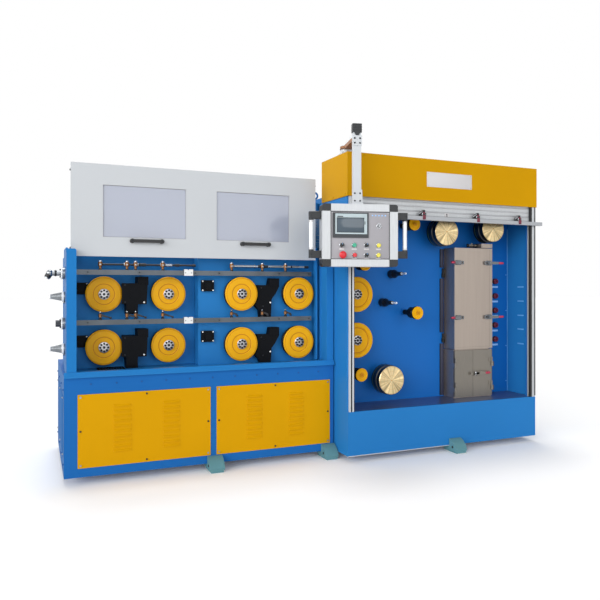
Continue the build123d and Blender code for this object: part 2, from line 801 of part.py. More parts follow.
def turning_places():
    """Every wheel in the cabinet as (x, z, radius, front, width, shaft radius)."""
    big = [(big_wheel_x, z, big_wheel_radius, big_wheel_front, capstan_width, shaft_radius)
           for z in (big_wheel_upper_z, big_wheel_lower_z)]
    contact = [(x, z, contact_radius, contact_front, contact_width, shaft_radius) for x, z in contact_places]
    small = [(x, z, small_radius, small_front, small_width, small_shaft_radius) for x, z in small_places]
    return big + contact + small


def shaft_points(bore):
    """The end of a wheel's outline: its collar before the boss, and its shaft in the boss and wall."""
    collar = cabinet_back_y - boss_depth - 5
    return [(bore + 9, collar), (bore, collar), (bore, cabinet_back_y + shaft_in_wall),
            (0, cabinet_back_y + shaft_in_wall)]


def big_wheel(x, z, r, front, width, bore):
    """A large yellow wheel with a deep dish and a raised rim."""
    back = front + width
    points = [(0, front - 2), (30, front - 2), (32, front + 6), (r - 34, front + 6), (r - 26, front),
              (r - 8, front), (r - 2, front + 2), (r, front + 5), (r, front + 10), (r - 10, front + 14),
              (r - 12, front + 24), (r - 10, back - 10), (r - 2, back - 6), (r - 2, back), (40, back)]
    return turned(points + shaft_points(bore), x, z)


def contact_pulley(x, z, r, front, width, bore):
    """A contact pulley: turned brass face, wide band with two thin collars, and shaft."""
    back = front + width
    points = [(0, front + 1), (6, front), (r - 3, front), (r, front + 3), (r, front + 34),
              (r - 3, front + 37),
              (r - 3, front + 44), (r + 4, front + 47), (r + 4, back - 4), (r, back), (36, back),
              (36, back + 30)]
    return turned(points + shaft_points(bore), x, z)


def small_pulley(x, z, r, front, width, bore):
    """A small yellow guide pulley with a V groove, on a long drum."""
    back = front + width
    middle = (front + back) / 2
    drum = small_drum_radius
    points = [(0, front - 3), (14, front - 3), (16, front + 3), (r - 12, front + 3), (r - 8, front),
              (r - 2, front),
              (r, front + 3), (r - 9, middle), (r, back - 3), (r - 2, back), (drum - 3, back),
              (drum, back + 3),
              (drum, small_drum_back - 3), (drum - 3, small_drum_back), (bore + 9, small_drum_back)]
    return turned(points + shaft_points(bore), x, z)


def fluted_knob(z):
    """A round knob with flutes for the fingers."""
    wall = cabinet_back_y
    points = [(0, wall - knob_depth), (knob_radius - 5, wall - knob_depth),
              (knob_radius, wall - knob_depth + 4),
              (knob_radius, wall - 10), (knob_radius - 6, wall - 6), (knob_radius - 6, wall), (0, wall)]
    knob = turned(points, knob_x, z)
    for n in range(knob_flutes):
        angle = math.radians(n * 360 / knob_flutes)
        knob -= round_y(knob_x + (knob_radius + 3) * math.cos(angle), z + (knob_radius + 3) * math.sin(angle),
                        wall - knob_depth, wall - 10, 6)
    return knob


def cabinet_fittings():
    wall = cabinet_back_y
    pins = []
    for x, z in pin_places:
        points = [(0, wall - pin_reach), (5, wall - pin_reach), (7, wall - pin_reach + 3), (7, wall - 150),
                  (14, wall - 146),
                  (16, wall - 90), (pin_base_radius - 4, wall - 60), (pin_base_radius, wall - 54),
                  (pin_base_radius, wall), (0, wall)]
        pins.append(turned(points, x, z))
    knobs = [fluted_knob(z) for z in knob_places]
    return {"guide_pins": group(*pins), "red_knobs": group(*knobs)}


def toggle_clamp(x, z, front, side, reach):
    """A toggle clamp on a front face: base, humped body, tapered lever to one side, loop to the other."""
    w = clamp_half_width
    h = clamp_half_height
    clamp = block(x - w, x + w, front - 4, front, z - h, z + h)
    clamp += front_profile([(x - w + 2, z - 7), (x - 10, z - h + 3), (x + 10, z - h + 3), (x + w - 2, z - 7),
                            (x + w - 2, z + 7), (x + 10, z + h - 3), (x - 10, z + h - 3), (x - w + 2, z + 7)],
                           front - 16, front - 4)
    tip = x + side * reach
    clamp += front_profile([(x - side * 12, z - 10), (x - side * 12, z + 10), (x + side * w, z + 11),
                            (tip - side * 4, z + 7),
                            (tip, z + 4), (tip, z - 4), (tip - side * 4, z - 7), (x + side * w, z - 11)],
                           front - 26, front - 15)
    near, far = sorted((x - side * 16, x - side * (w + 22)))
    loop = block(near, far, front - 13, front - 6, z - 13, z + 13)
    near, far = sorted((x - side * 16, x - side * (w + 14)))
    return clamp + (loop - block(near, far, front - 13, front - 6, z - 7, z + 7))


def annealer_leaf(hinge_side, edge):
    """One leaf of the lower door, with its hinge knuckles."""
    front = annealer_front_y
    half = hinge_length / 2
    axis_x = edge + hinge_side * leaf_hinge_inset
    axis_y = front - leaf_hinge_out
    near, far = sorted((edge + hinge_side * 2, leaf_split_x - hinge_side * 1))
    leaf = block(near, far, front, front + leaf_sheet, leaf_bottom, leaf_top)
    for z in leaf_hinge_places:
        near, far = sorted((axis_x, axis_x + hinge_side * 26))
        leaf += round_z(axis_x, axis_y, z + 1, z + half, leaf_knuckle_radius)
        leaf += block(near, far, front - leaf_strap, front, z + 1, z + half)
        leaf -= round_z(axis_x, axis_y, z, z + half, leaf_pin_radius + running_gap)
    return leaf


def leaf_hinge_seats(hinge_side, edge):
    """The column's own knuckles, pins and brackets for one leaf."""
    front = annealer_front_y
    half = hinge_length / 2
    axis_x = edge + hinge_side * leaf_hinge_inset
    axis_y = front - leaf_hinge_out
    seats = []
    for z in leaf_hinge_places:
        seat = round_z(axis_x, axis_y, z - half, z, leaf_knuckle_radius)
        seat += round_z(axis_x, axis_y, z, z + half - 2, leaf_pin_radius)
        near, far = sorted((edge - hinge_side * 6, edge))
        seat += block(near, far, axis_y - leaf_knuckle_radius, 10, z - half, z)
        near, far = sorted((edge - hinge_side * 6, axis_x))
        seat += block(near, far, axis_y - leaf_knuckle_radius, axis_y, z - half, z)
        seats.append(seat)
    return seats


def annealer_parts():
    left = annealer_left_x
    right = annealer_right_x
    front = annealer_front_y
    wall = cabinet_back_y
    sheet = annealer_sheet
    gap = core_gap
    inner_top = annealer_top - sheet
    hinge_x = left - hinge_radius - 3
    hinge_y = wall - hinge_radius - 2

    core = block(left + sheet + gap, right - sheet - core_right_gap, front + sheet + gap, wall,
                 annealer_bottom, inner_top - gap)
    core += block(left, right, front + leaf_sheet + gap, wall, annealer_bottom, annealer_split - leaf_gap)
    core += block(tower_left_x, right, front, wall, annealer_top + tower_gap, tower_top)
    core += block(tower_left_x + 30, right - 30, 20, wall, inner_top - gap, annealer_top + tower_gap)
    for z in lid_hinge_places:
        low = z - hinge_length / 2
        core += block(hinge_x - hinge_radius, hinge_x + hinge_radius, hinge_y, wall, low, z)
        core += round_z(hinge_x, hinge_y, low, z, hinge_radius)
        core += round_z(hinge_x, hinge_y, z, z + hinge_length / 2 - 2, hinge_pin_radius)

    lid_bottom = annealer_split + leaf_gap
    lid = block(left, right, front, wall - 5, lid_bottom, annealer_top)
    lid -= block(left + sheet, right - sheet, front + sheet, wall - 5, lid_bottom, inner_top)
    lid -= block(tower_left_x + 24, right - 18, 12, wall, inner_top, annealer_top)
    for z in lid_hinge_places:
        high = z + hinge_length / 2
        barrel = round_z(hinge_x, hinge_y, z + 1, high, hinge_radius)
        barrel += block(hinge_x, left, hinge_y - 4, hinge_y + 4, z + 1, high)
        barrel -= round_z(hinge_x, hinge_y, z, z + hinge_length, hinge_pin_radius + running_gap)
        lid += barrel
    clamps = []
    for z in (clamp_upper_z, clamp_lower_z):
        clamps.append(toggle_clamp(clamp_left_x, z, front, -1, clamp_left_reach))
        clamps.append(toggle_clamp(clamp_right_x, z, front, 1, clamp_right_reach))

    leaves = [annealer_leaf(1, left), annealer_leaf(-1, right)]
    for seat in leaf_hinge_seats(1, left) + leaf_hinge_seats(-1, right):
        core += seat
    x = leaf_split_x
    z = leaf_clamp_z
    leaves[0] += block(x - 36, x - 8, front - 5, front, z - 12, z + 12)
    leaves[0] += front_profile([(x - 30, z - 8), (x - 10, z - 5), (x - 10, z + 5), (x - 30, z + 8)],
                               front - 14, front - 5)
    leaves[1] += block(x + 8, x + 92, front - 5, front, z - clamp_half_height, z + clamp_half_height)
    leaves[1] += front_profile([(x + 14, z - 8), (x + 50, z - 14), (x + 96, z - 10), (x + 150, z - 7),
                                (x + 150, z + 7),
                                (x + 96, z + 10), (x + 50, z + 14), (x + 14, z + 8)], front - 20, front - 5)
    return {"annealer_column": core, "annealer_lid": lid, "annealer_clamps": group(*clamps),
            "annealer_leaf_left": leaves[0], "annealer_leaf_right": leaves[1]}


def arm_pivot():
    """Where the pendant's arm turns on the hood, behind the post by the arm's length."""
    turn = math.radians(pendant_turn)
    return post_x + arm_length * math.sin(turn), post_y + arm_length * math.cos(turn)


def pendant_parts():
    pivot_x, pivot_y = arm_pivot()
    mount_top = hood_top + mount_height
    hub_bottom = mount_top + arm_gap
    hub_top = hub_bottom + hub_height
    post_end = mount_top + arm_end_rise - post_cap_height + 10

    mount = round_z(pivot_x, pivot_y, hood_top, mount_top, mount_radius)
    half = mount_radius + mount_flange
    plate = block(-half, half, -half, half, hood_top, hood_top + mount_plate)
    plate = fillet(plate.edges().filter_by(Axis.Z), 12)
    for angle in (45, 135, 225, 315):
        rib = front_profile([(mount_radius - 6, hood_top + mount_plate),
                             (mount_radius + 16, hood_top + mount_plate),
                             (mount_radius - 2, mount_top - 4), (mount_radius - 6, mount_top - 4)], -4, 4)
        plate += Rot(Z=angle) * rib
    mount += Pos(pivot_x, pivot_y, 0) * (Rot(Z=-pendant_turn) * plate)
    mount += round_z(pivot_x, pivot_y, mount_top, hub_top - 6, pivot_pin_radius)

    # In its own frame the pendant hangs from the post at x = 0, y = 0 and its front faces -y.
    half_w = pendant_post_width / 2
    half_d = pendant_post_depth / 2
    arm = side_profile([(half_d, post_end - arm_size), (half_d, post_end), (half_d + 24, post_end),
                        (arm_length, hub_top),
                        (arm_length + 20, hub_top), (arm_length + 20, hub_bottom), (arm_length, hub_bottom),
                        (half_d + 24, post_end - arm_size)], -arm_size / 2, arm_size / 2)
    arm += round_z(0, arm_length, hub_bottom, hub_top, mount_radius)
    arm -= round_z(0, arm_length, hub_bottom, hub_top - 5, pivot_pin_radius + running_gap)

    post = block(-half_w, half_w, -half_d, half_d, pendant_top, post_end)
    post += block(-half_w - 4, half_w + 4, -half_d - post_plate, -half_d, post_end - 84, post_end - 20)
    lower = [(-half_w - 9, pendant_top + post_foot), (-half_w - 5, pendant_top + 96),
             (half_w + 5, pendant_top + 96),
             (half_w + 9, pendant_top + post_foot)]
    post += front_profile(lower, -half_d - post_plate, -half_d)
    post += block(-half_w - 12, half_w + 12, -half_d - 8, half_d + 8, pendant_top, pendant_top + post_foot)

    left = pendant_offset - pendant_half_width
    right = pendant_offset + pendant_half_width
    front = pendant_front
    back = front + pendant_depth
    low = pendant_bottom
    top = pendant_top
    box = block(left, right, front, back, low, top)
    box -= block(left + frame_side, right - frame_side, front, front + panel_set_back, low + frame_edge,
                 top - frame_edge)
    corners = []
    for x0, x1, outer in ((left, left + frame_side, left), (right - frame_side, right, right)):
        for z0, z1, edge in ((top - corner_height, top, top), (low, low + corner_height, low)):
            corner = block(x0, x1, front - 1, back, z0, z1)
            box -= block(x0, x1, front, back, z0, z1)
            rounded = corner.edges().filter_by(Axis.Y).sort_by_distance((outer, front, edge))[0]
            corners.append(fillet(rounded, corner_round))

    face = front + panel_set_back
    controls = [hmi_unit(face)]
    for x, z, radius, proud in button_places():
        controls.append(push_button(x, z, radius, proud, face))

    blocks = list(corners)
    middle = front + pendant_depth / 2
    for edge, side in ((left, -1), (right, 1)):
        outer = edge + side * grip_reach
        near, far = sorted((edge, outer))
        grip_x = outer - side * (grip_tube_radius + 2)
        for z in (grip_upper_z, grip_lower_z):
            grip = block(near, far, middle - grip_block_depth / 2, middle + grip_block_depth / 2, z,
                         z + grip_block)
            ends = grip.edges().filter_by(Axis.Z).sort_by_distance((outer, middle, z))[:2]
            blocks.append(fillet(ends, 8))
        blocks.append(round_z(grip_x, middle, grip_lower_z + grip_block, grip_upper_z, grip_tube_radius))
    cap = block(-post_cap_width / 2, post_cap_width / 2, -post_cap_depth / 2, post_cap_depth / 2,
                post_end, post_end + post_cap_height)
    cap = fillet(cap.edges().filter_by(Axis.Z), 5)
    cap += front_profile([(-20, post_end), (-9, post_end - 19), (9, post_end - 19), (20, post_end)],
                         -post_cap_depth / 2, -half_d)
    blocks.append(cap)

    placed = Pos(post_x, post_y, 0) * Rot(Z=-pendant_turn)
    return {"arm_mount": mount, "pendant_arm": placed * arm, "pendant_post": placed * post,
            "pendant_box": placed * box,
            "pendant_controls": placed * group(*controls), "pendant_handles": placed * group(*blocks)}


def hmi_unit(face):
    """The screen unit on the pendant's panel: dark border, raised bezel, sunk screen."""
    unit = block(-165, 65, face - 10, face, 1477, 1634)
    unit += block(-150, 54, face - 13, face - 10, 1499, 1627)
    unit -= block(-139, 35, face - 13, face - 9, 1511, 1600)
    return unit


def button_places():
    """Every button, switch and lock on the pendant's panel as (x, z, radius, proud of the panel)."""
    upper = [(-106, 1430, 14, 18), (-26, 1430, 14, 13), (53, 1430, 14, 18), (132, 1430, 14, 13)]
    lower = [(-103, 1368, 22, 28), (-24, 1368, 14, 13), (53, 1368, 14, 18), (130, 1368, 14, 13)]
    return upper + lower + [(135, 1553, 13, 12)]


def push_button(x, z, radius, proud, face):
    """A turned button: a collar on the panel and a head on a short neck."""
    tip = face - proud
    points = [(0, face), (radius, face), (radius, face - 3), (radius - 3, face - 5), (radius - 3, tip + 5),
              (radius - 1, tip + 4), (radius - 2, tip), (0, tip)]
    if radius > 20:
        points = [(0, face), (16, face), (16, face - 4), (11, face - 6), (11, tip + 12), (radius, tip + 9),
                  (radius, tip + 5), (radius - 6, tip + 1), (0, tip)]
    return turned(points, x, z)


def wedge_foot(x, face, out):
    """A levelling foot: a base plate, and a wedge whose rounded back falls to the tip."""
    under = face - out * foot_under
    seat = face + out * foot_seat
    tip = face + out * foot_proud
    x0 = x - foot_width / 2
    low, high = sorted((under, tip))
    foot = block(x0 + 8, x0 + foot_width - 8, low, high, 0, foot_base)
    top = Polyline((x0, tip, foot_base), (x0, under, foot_base), (x0, under, base_bottom),
                   (x0, seat, base_bottom),
                   (x0, seat, foot_top))
    back = ThreePointArc((x0, seat, foot_top), (x0, face + out * 46, foot_tip + 44), (x0, tip, foot_tip))
    nose = Line((x0, tip, foot_tip), (x0, tip, foot_base))
    foot += extrude(make_face(top + back + nose), foot_width, dir=(1, 0, 0))
    return foot


def feet_and_eyes():
    feet = []
    for x in foot_places:
        under_base = x < cabinet_left_x - 20
        front = 0 if under_base else cabinet_front_y
        rear = base_depth if under_base else cabinet_rear_y
        feet += [wedge_foot(x, front, -1), wedge_foot(x, rear, 1)]
    eyes = []
    for x in (cabinet_left_x + 14, cabinet_right_x - 14):
        top = cabinet_top + roof_thick
        ring = Pos(x, cabinet_rear_y - 40, top + eye_radius + 6) * (Rot(X=90) * Torus(eye_radius - eye_wire,
                                                                                      eye_wire))
        eyes.append(ring + round_z(x, cabinet_rear_y - 40, top, top + 14, 12))
    return {"levelling_feet": group(*feet), "lifting_eyes": group(*eyes)}


def build():
    """All nodes by name, in the drawing frame."""
    nodes = {}
    for parts in (base_parts, chamber_parts, cover_parts, spray_parts, die_parts, inlet_parts, cabinet_parts,
                  shutter_parts, cabinet_fittings, annealer_parts, pendant_parts, feet_and_eyes):
        nodes.update(parts())
    for n, (x, z, front, wall) in enumerate(capstan_places(), 1):
        nodes[f"capstan_{n}"] = capstan(x, z, front, wall)
    places = turning_places()
    for n, place in enumerate(places[:2], 1):
        nodes[f"haul_wheel_{n}"] = big_wheel(*place)
    for n, place in enumerate(places[2:5], 1):
        nodes[f"contact_pulley_{n}"] = contact_pulley(*place)
    for n, place in enumerate(places[5:], 1):
        nodes[f"guide_pulley_{n}"] = small_pulley(*place)
    return nodes


def origin_shift(nodes):
    """The move that puts the origin under the middle of the machine, on the floor."""
    boxes = [shape.bounding_box() for shape in nodes.values()]
    x = (min(b.min.X for b in boxes) + max(b.max.X for b in boxes)) / 2
    y = (min(b.min.Y for b in boxes) + max(b.max.Y for b in boxes)) / 2
    return (-x, -y, 0)


def main():
    nodes = build()
    shift = origin_shift(nodes)
    print("shift", shift)
    os.makedirs("parts", exist_ok=True)
    for name, shape in nodes.items():
        export_step(Pos(*shift) * shape, f"parts/{name}.step")


main()
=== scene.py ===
import math

import bmesh
import bpy
from bpy.props import FloatProperty, FloatVectorProperty, IntProperty, PointerProperty, StringProperty
from mathutils import Matrix, Vector


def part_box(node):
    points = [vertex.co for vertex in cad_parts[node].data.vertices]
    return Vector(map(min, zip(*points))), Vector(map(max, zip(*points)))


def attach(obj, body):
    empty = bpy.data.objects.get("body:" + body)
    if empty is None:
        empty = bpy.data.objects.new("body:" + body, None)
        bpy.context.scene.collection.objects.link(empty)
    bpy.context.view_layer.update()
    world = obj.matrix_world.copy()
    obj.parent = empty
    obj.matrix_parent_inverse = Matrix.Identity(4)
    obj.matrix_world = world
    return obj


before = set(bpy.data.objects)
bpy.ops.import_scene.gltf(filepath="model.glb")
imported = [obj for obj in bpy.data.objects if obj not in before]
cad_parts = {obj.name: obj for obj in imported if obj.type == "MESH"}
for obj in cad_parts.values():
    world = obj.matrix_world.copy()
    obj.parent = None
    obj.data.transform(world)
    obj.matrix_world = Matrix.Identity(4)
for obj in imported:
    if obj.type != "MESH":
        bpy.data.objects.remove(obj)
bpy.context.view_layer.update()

bl_info = {
    "name": "Wire drawing machine",
    "version": (1, 0, 0),
    "blender": (4, 5, 0),
    "location": "View3D > Sidebar > Wire drawing",
    "description": "Dresses the packed wire drawing machine with its finishes, fittings and a plain stage",
    "category": "Object",
}

FRONT = (0, -1, 0)
BACK = (0, 1, 0)
LEFT = (-1, 0, 0)
RIGHT = (1, 0, 0)
UP = (0, 0, 1)

# Fittings are placed in millimetres from the base's left front corner, on the floor.
BASE_CORNER = Vector(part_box("base_frame")[0]) * 1000
BASE_CORNER.z = 0
TO_ROW = Matrix.Scale(0.001, 4) @ Matrix.Translation(BASE_CORNER)


def box_mm(node):
    """A CAD node's box in millimetres from the base corner, as (x0, x1, y0, y1, z0, z1)."""
    low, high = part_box(node)
    low = Vector(low) * 1000 - BASE_CORNER
    high = Vector(high) * 1000 - BASE_CORNER
    return low.x, high.x, low.y, high.y, low.z, high.z


def centre_mm(node):
    """The middle of a turned node seen from the front, and its foremost depth."""
    x0, x1, y0, y1, z0, z1 = box_mm(node)
    return (x0 + x1) / 2, y0, (z0 + z1) / 2


def corners(x0, x1, z0, z1, y, inset):
    """Four places at a depth, an inset away from the corners of a sheet that faces the front or rear."""
    return [(x, y, z) for x in (x0 + inset, x1 - inset) for z in (z0 + inset, z1 - inset)]


# Faces and heights that several fittings share.
WALL_Y = box_mm("drip_tray")[3]
HOOD_Y = box_mm("shutter_hood")[2]
POST_Y = box_mm("guide_posts")[2]
LID_Y = box_mm("annealer_lid")[2]
SILL_Z = box_mm("cabinet_plinth")[5]
SHUTTER_TOP_Z = box_mm("roller_shutter")[5]
ROWS_Z = (centre_mm("capstan_1")[2], centre_mm("capstan_5")[2])

# The pendant's front is turned this far to the left, in degrees.
PENDANT_TURN = 14.2


def pendant_place():
    """The pendant's own frame: it starts at the middle of the post, and the front faces -y."""
    x0, x1, y0, y1, z0, z1 = box_mm("pendant_post")
    middle = Matrix.Translation(((x0 + x1) / 2, (y0 + y1) / 2, 0))
    return middle @ Matrix.Rotation(math.radians(-PENDANT_TURN), 4, "Z")


PENDANT = pendant_place()


def linear(hex_colour):
    """A linear RGBA colour from an sRGB hex value such as "2070b8"."""
    channels = [int(hex_colour[n:n + 2], 16) / 255 for n in (0, 2, 4)]
    return [c / 12.92 if c <= 0.04045 else ((c + 0.055) / 1.055) ** 2.4 for c in channels] + [1.0]


def shade(hex_colour, factor):
    """A hex colour's linear value, made darker or lighter by a factor."""
    return [min(1.0, c * factor) for c in linear(hex_colour)[:3]] + [1.0]


def add_node(tree, kind, inputs=None, **settings):
    """Adds a node with its settings, and sets or links its inputs."""
    node = tree.nodes.new(kind)
    for name, value in settings.items():
        setattr(node, name, value)
    for name, value in (inputs or {}).items():
        if isinstance(value, bpy.types.NodeSocket):
            tree.links.new(value, node.inputs[name])
        else:
            node.inputs[name].default_value = value
    return node


# Materials

def surface(name, roughness, metallic=0.0, ior=1.5, **sockets):
    """A new material and its tree, Principled shader and object coordinates."""
    material = bpy.data.materials.new(name)
    material.use_nodes = True
    tree = material.node_tree
    tree.nodes.clear()
    shader = add_node(tree, "ShaderNodeBsdfPrincipled", {
        "Roughness": roughness, "Metallic": metallic, "IOR": ior})
    for socket, value in sockets.items():
        shader.inputs[socket.replace("_", " ")].default_value = value
    add_node(tree, "ShaderNodeOutputMaterial", {"Surface": shader.outputs["BSDF"]})
    place = add_node(tree, "ShaderNodeTexCoord").outputs["Object"]
    return material, tree, shader, place


def mottle(tree, place, colour, darker, size_mm, stretch=(1, 1, 1), detail=3.0):
    """Colour that drifts to a darker tone in patches of a real size; returns the colour and the noise."""
    moved = add_node(tree, "ShaderNodeMapping", {"Vector": place, "Scale": stretch})
    noise = add_node(tree, "ShaderNodeTexNoise",
                     {"Vector": moved.outputs["Vector"], "Scale": 1000 / size_mm, "Detail": detail})
    mix = add_node(tree, "ShaderNodeMix", {0: noise.outputs["Fac"], 6: colour, 7: darker}, data_type="RGBA")
    return mix.outputs[2], noise.outputs["Fac"]


def bumped(tree, shader, place, size_mm, height_mm, stretch=(1, 1, 1)):
    """Relief of a real size and height on the shader's normal."""
    moved = add_node(tree, "ShaderNodeMapping", {"Vector": place, "Scale": stretch})
    noise = add_node(tree, "ShaderNodeTexNoise",
                     {"Vector": moved.outputs["Vector"], "Scale": 1000 / size_mm, "Detail": 2.0})
    bump = add_node(tree, "ShaderNodeBump", {"Height": noise.outputs["Fac"], "Distance": height_mm / 1000})
    tree.links.new(bump.outputs["Normal"], shader.inputs["Normal"])


def enamel(name, hex_colour, roughness=0.35, gloss=0.3):
    """Sprayed machine enamel: smooth, half gloss, with faint drift in tone and orange peel."""
    material, tree, shader, place = surface(name, roughness, Specular_IOR_Level=gloss)
    colour, _ = mottle(tree, place, shade(hex_colour, 1.05), shade(hex_colour, 0.92), 420)
    tree.links.new(colour, shader.inputs["Base Color"])
    bumped(tree, shader, place, 9, 0.05)
    return material


def powder_coat(name, hex_colour):
    """Fine-textured powder coat: matt, with a close grain, drawn at 4 mm so that it shows."""
    material, tree, shader, place = surface(name, 0.5)
    colour, _ = mottle(tree, place, linear(hex_colour), shade(hex_colour, 0.94), 500)
    tree.links.new(colour, shader.inputs["Base Color"])
    bumped(tree, shader, place, 4, 0.04)
    return material


def moulded(name, hex_colour, roughness=0.45):
    """Moulded plastic: even colour and a faint grain."""
    material, tree, shader, place = surface(name, roughness, ior=1.46)
    colour, _ = mottle(tree, place, shade(hex_colour, 1.08), shade(hex_colour, 0.9), 60)
    tree.links.new(colour, shader.inputs["Base Color"])
    bumped(tree, shader, place, 3, 0.03)
    return material


def bare_metal(name, hex_colour, roughness, grain=(1, 1, 1), grain_mm=6, relief_mm=0.02, metallic=1.0):
    """Bare metal with a grain: brushed, drawn or cast, stretched along one axis by the grain vector."""
    material, tree, shader, place = surface(name, roughness, metallic=metallic)
    darker = shade(hex_colour, 0.82)
    colour, noise = mottle(tree, place, shade(hex_colour, 1.05), darker, grain_mm, grain, 4.0)
    tree.links.new(colour, shader.inputs["Base Color"])
    spread = add_node(tree, "ShaderNodeMapRange", {
        "Value": noise, "To Min": roughness * 0.8, "To Max": roughness * 1.25})
    tree.links.new(spread.outputs["Result"], shader.inputs["Roughness"])
    bumped(tree, shader, place, grain_mm, relief_mm, grain)
    return material


def inside_box(tree, place, box):
    """1 inside a box in millimetres (x0, x1, y0, y1, z0, z1) from the base corner, and 0 outside it."""
    low = TO_ROW @ Vector(box[0::2])
    high = TO_ROW @ Vector(box[1::2])
    half = (high - low) / 2
    away = add_node(tree, "ShaderNodeVectorMath", {0: place, 1: low + half}, operation="SUBTRACT")
    away = add_node(tree, "ShaderNodeVectorMath", {0: away.outputs[0]}, operation="ABSOLUTE")
    past = add_node(tree, "ShaderNodeVectorMath", {0: away.outputs[0], 1: half}, operation="SUBTRACT")
    parts = add_node(tree, "ShaderNodeSeparateXYZ", {"Vector": past.outputs[0]}).outputs
    most = add_node(tree, "ShaderNodeMath", {0: parts[0], 1: parts[1]}, operation="MAXIMUM")
    most = add_node(tree, "ShaderNodeMath", {0: most.outputs[0], 1: parts[2]}, operation="MAXIMUM")
    return add_node(tree, "ShaderNodeMath", {0: most.outputs[0], 1: 0.0}, operation="LESS_THAN").outputs[0]


def zoned(name, roughness, hex_colour, zones, metallic=0.0, gloss=0.4, patch_mm=200, drift=0.92,
          grain=(1, 1, 1)):
    """One piece with several finishes, such as a turned wheel with a black drum behind its painted face.

    Each zone is (box in millimetres, hex colour, metallic), and a later zone covers an earlier one."""
    material, tree, shader, place = surface(name, roughness, Specular_IOR_Level=gloss)
    colour, _ = mottle(tree, place, shade(hex_colour, 1.04), shade(hex_colour, drift), patch_mm, grain)
    metal = metallic
    for box, zone_hex, zone_metal in zones:
        inside = inside_box(tree, place, box)
        zone_colour, _ = mottle(tree, place, shade(zone_hex, 1.06), shade(zone_hex, 0.9), 30)
        mixed = add_node(tree, "ShaderNodeMix", {0: inside, 6: colour, 7: zone_colour}, data_type="RGBA")
        colour = mixed.outputs[2]
        metal = add_node(tree, "ShaderNodeMix", {0: inside, 2: metal, 3: zone_metal}).outputs[0]
    tree.links.new(colour, shader.inputs["Base Color"])
    if zones:
        tree.links.new(metal, shader.inputs["Metallic"])
    bumped(tree, shader, place, 8, 0.04, grain)
    return material


# Farther from the base corner than any piece reaches, for a zone that is open on that side.
FAR = 90000


def zone(x0=-FAR, x1=FAR, y0=-FAR, y1=FAR, z0=-FAR, z1=FAR):
    """A box that is open on the sides which aren't given."""
    return (x0, x1, y0, y1, z0, z1)


def left_end(node):
    """The zone of a node's left end face."""
    return zone(x1=box_mm(node)[0] + END_FACE)


# Depths behind a contact pulley's front: its brass face, and the brass line on its black band.
PULLEY_FACE_DEPTH = 3
PULLEY_LINE_DEPTH = 88


def turned_brass(name, x, z, front):
    """A turned brass face with a painted sheen of bright and dark rays, before a black ceramic band."""
    band = zone(y0=front + PULLEY_FACE_DEPTH)
    line = zone(y0=front + PULLEY_LINE_DEPTH, y1=front + PULLEY_LINE_DEPTH + 6)
    material = zoned(name, 0.28, "e6cf9f", [(band, "0b0e16", 0.0), (line, "c9a050", 1.0)],
                     metallic=1.0, gloss=0.5)
    tree = material.node_tree
    shader = next(n for n in tree.nodes if n.type == "BSDF_PRINCIPLED")
    place = next(n for n in tree.nodes if n.type == "TEX_COORD").outputs["Object"]
    middle = TO_ROW @ Vector((x, 0, z))
    away = add_node(tree, "ShaderNodeVectorMath", {0: place, 1: middle}, operation="SUBTRACT")
    flat = add_node(tree, "ShaderNodeVectorMath", {0: away.outputs[0], 1: (1, 0, 1)}, operation="MULTIPLY")
    outward = add_node(tree, "ShaderNodeVectorMath", {0: flat.outputs[0]}, operation="NORMALIZE")
    # Painted sheen: the face's colour is lightened and darkened in rays round its middle.
    rays = add_node(tree, "ShaderNodeTexNoise", {"Vector": outward.outputs[0], "Scale": 3.2, "Detail": 5.0})
    spread = add_node(tree, "ShaderNodeMapRange", {
        "Value": rays.outputs["Fac"], "From Min": 0.34, "From Max": 0.66, "To Min": 0.45, "To Max": 1.4})
    base = shader.inputs["Base Color"].links[0].from_socket
    sheen_colour = add_node(tree, "ShaderNodeVectorMath", {
        0: base, 1: spread.outputs["Result"]}, operation="MULTIPLY")
    face = inside_box(tree, place, zone(y1=front + PULLEY_FACE_DEPTH))
    mix = add_node(tree, "ShaderNodeMix", {0: face, 6: base, 7: sheen_colour.outputs[0]}, data_type="RGBA")
    tree.links.new(mix.outputs[2], shader.inputs["Base Color"])
    return material


def clear_sheet(name, hex_colour):
    """Polycarbonate sheet: pale, slightly see-through and glossy."""
    material, tree, shader, place = surface(name, 0.18, ior=1.58, Transmission_Weight=0.2)
    colour, _ = mottle(tree, place, linear(hex_colour), shade(hex_colour, 0.95), 300)
    tree.links.new(colour, shader.inputs["Base Color"])
    return material


def display_glass(name, hex_colour):
    """A switched-off display: grey-green glass with a smooth front and a faint drift in tone."""
    material, tree, shader, place = surface(name, 0.12, ior=1.52)
    colour, _ = mottle(tree, place, shade(hex_colour, 1.04), shade(hex_colour, 0.85), 160)
    tree.links.new(colour, shader.inputs["Base Color"])
    return material


# The zone of a left end face is this deep, and its blue is darker and duller than the front's, as painted
# shade.
END_FACE = 0.6
END_SHADE_BLUE = "2d5f95"


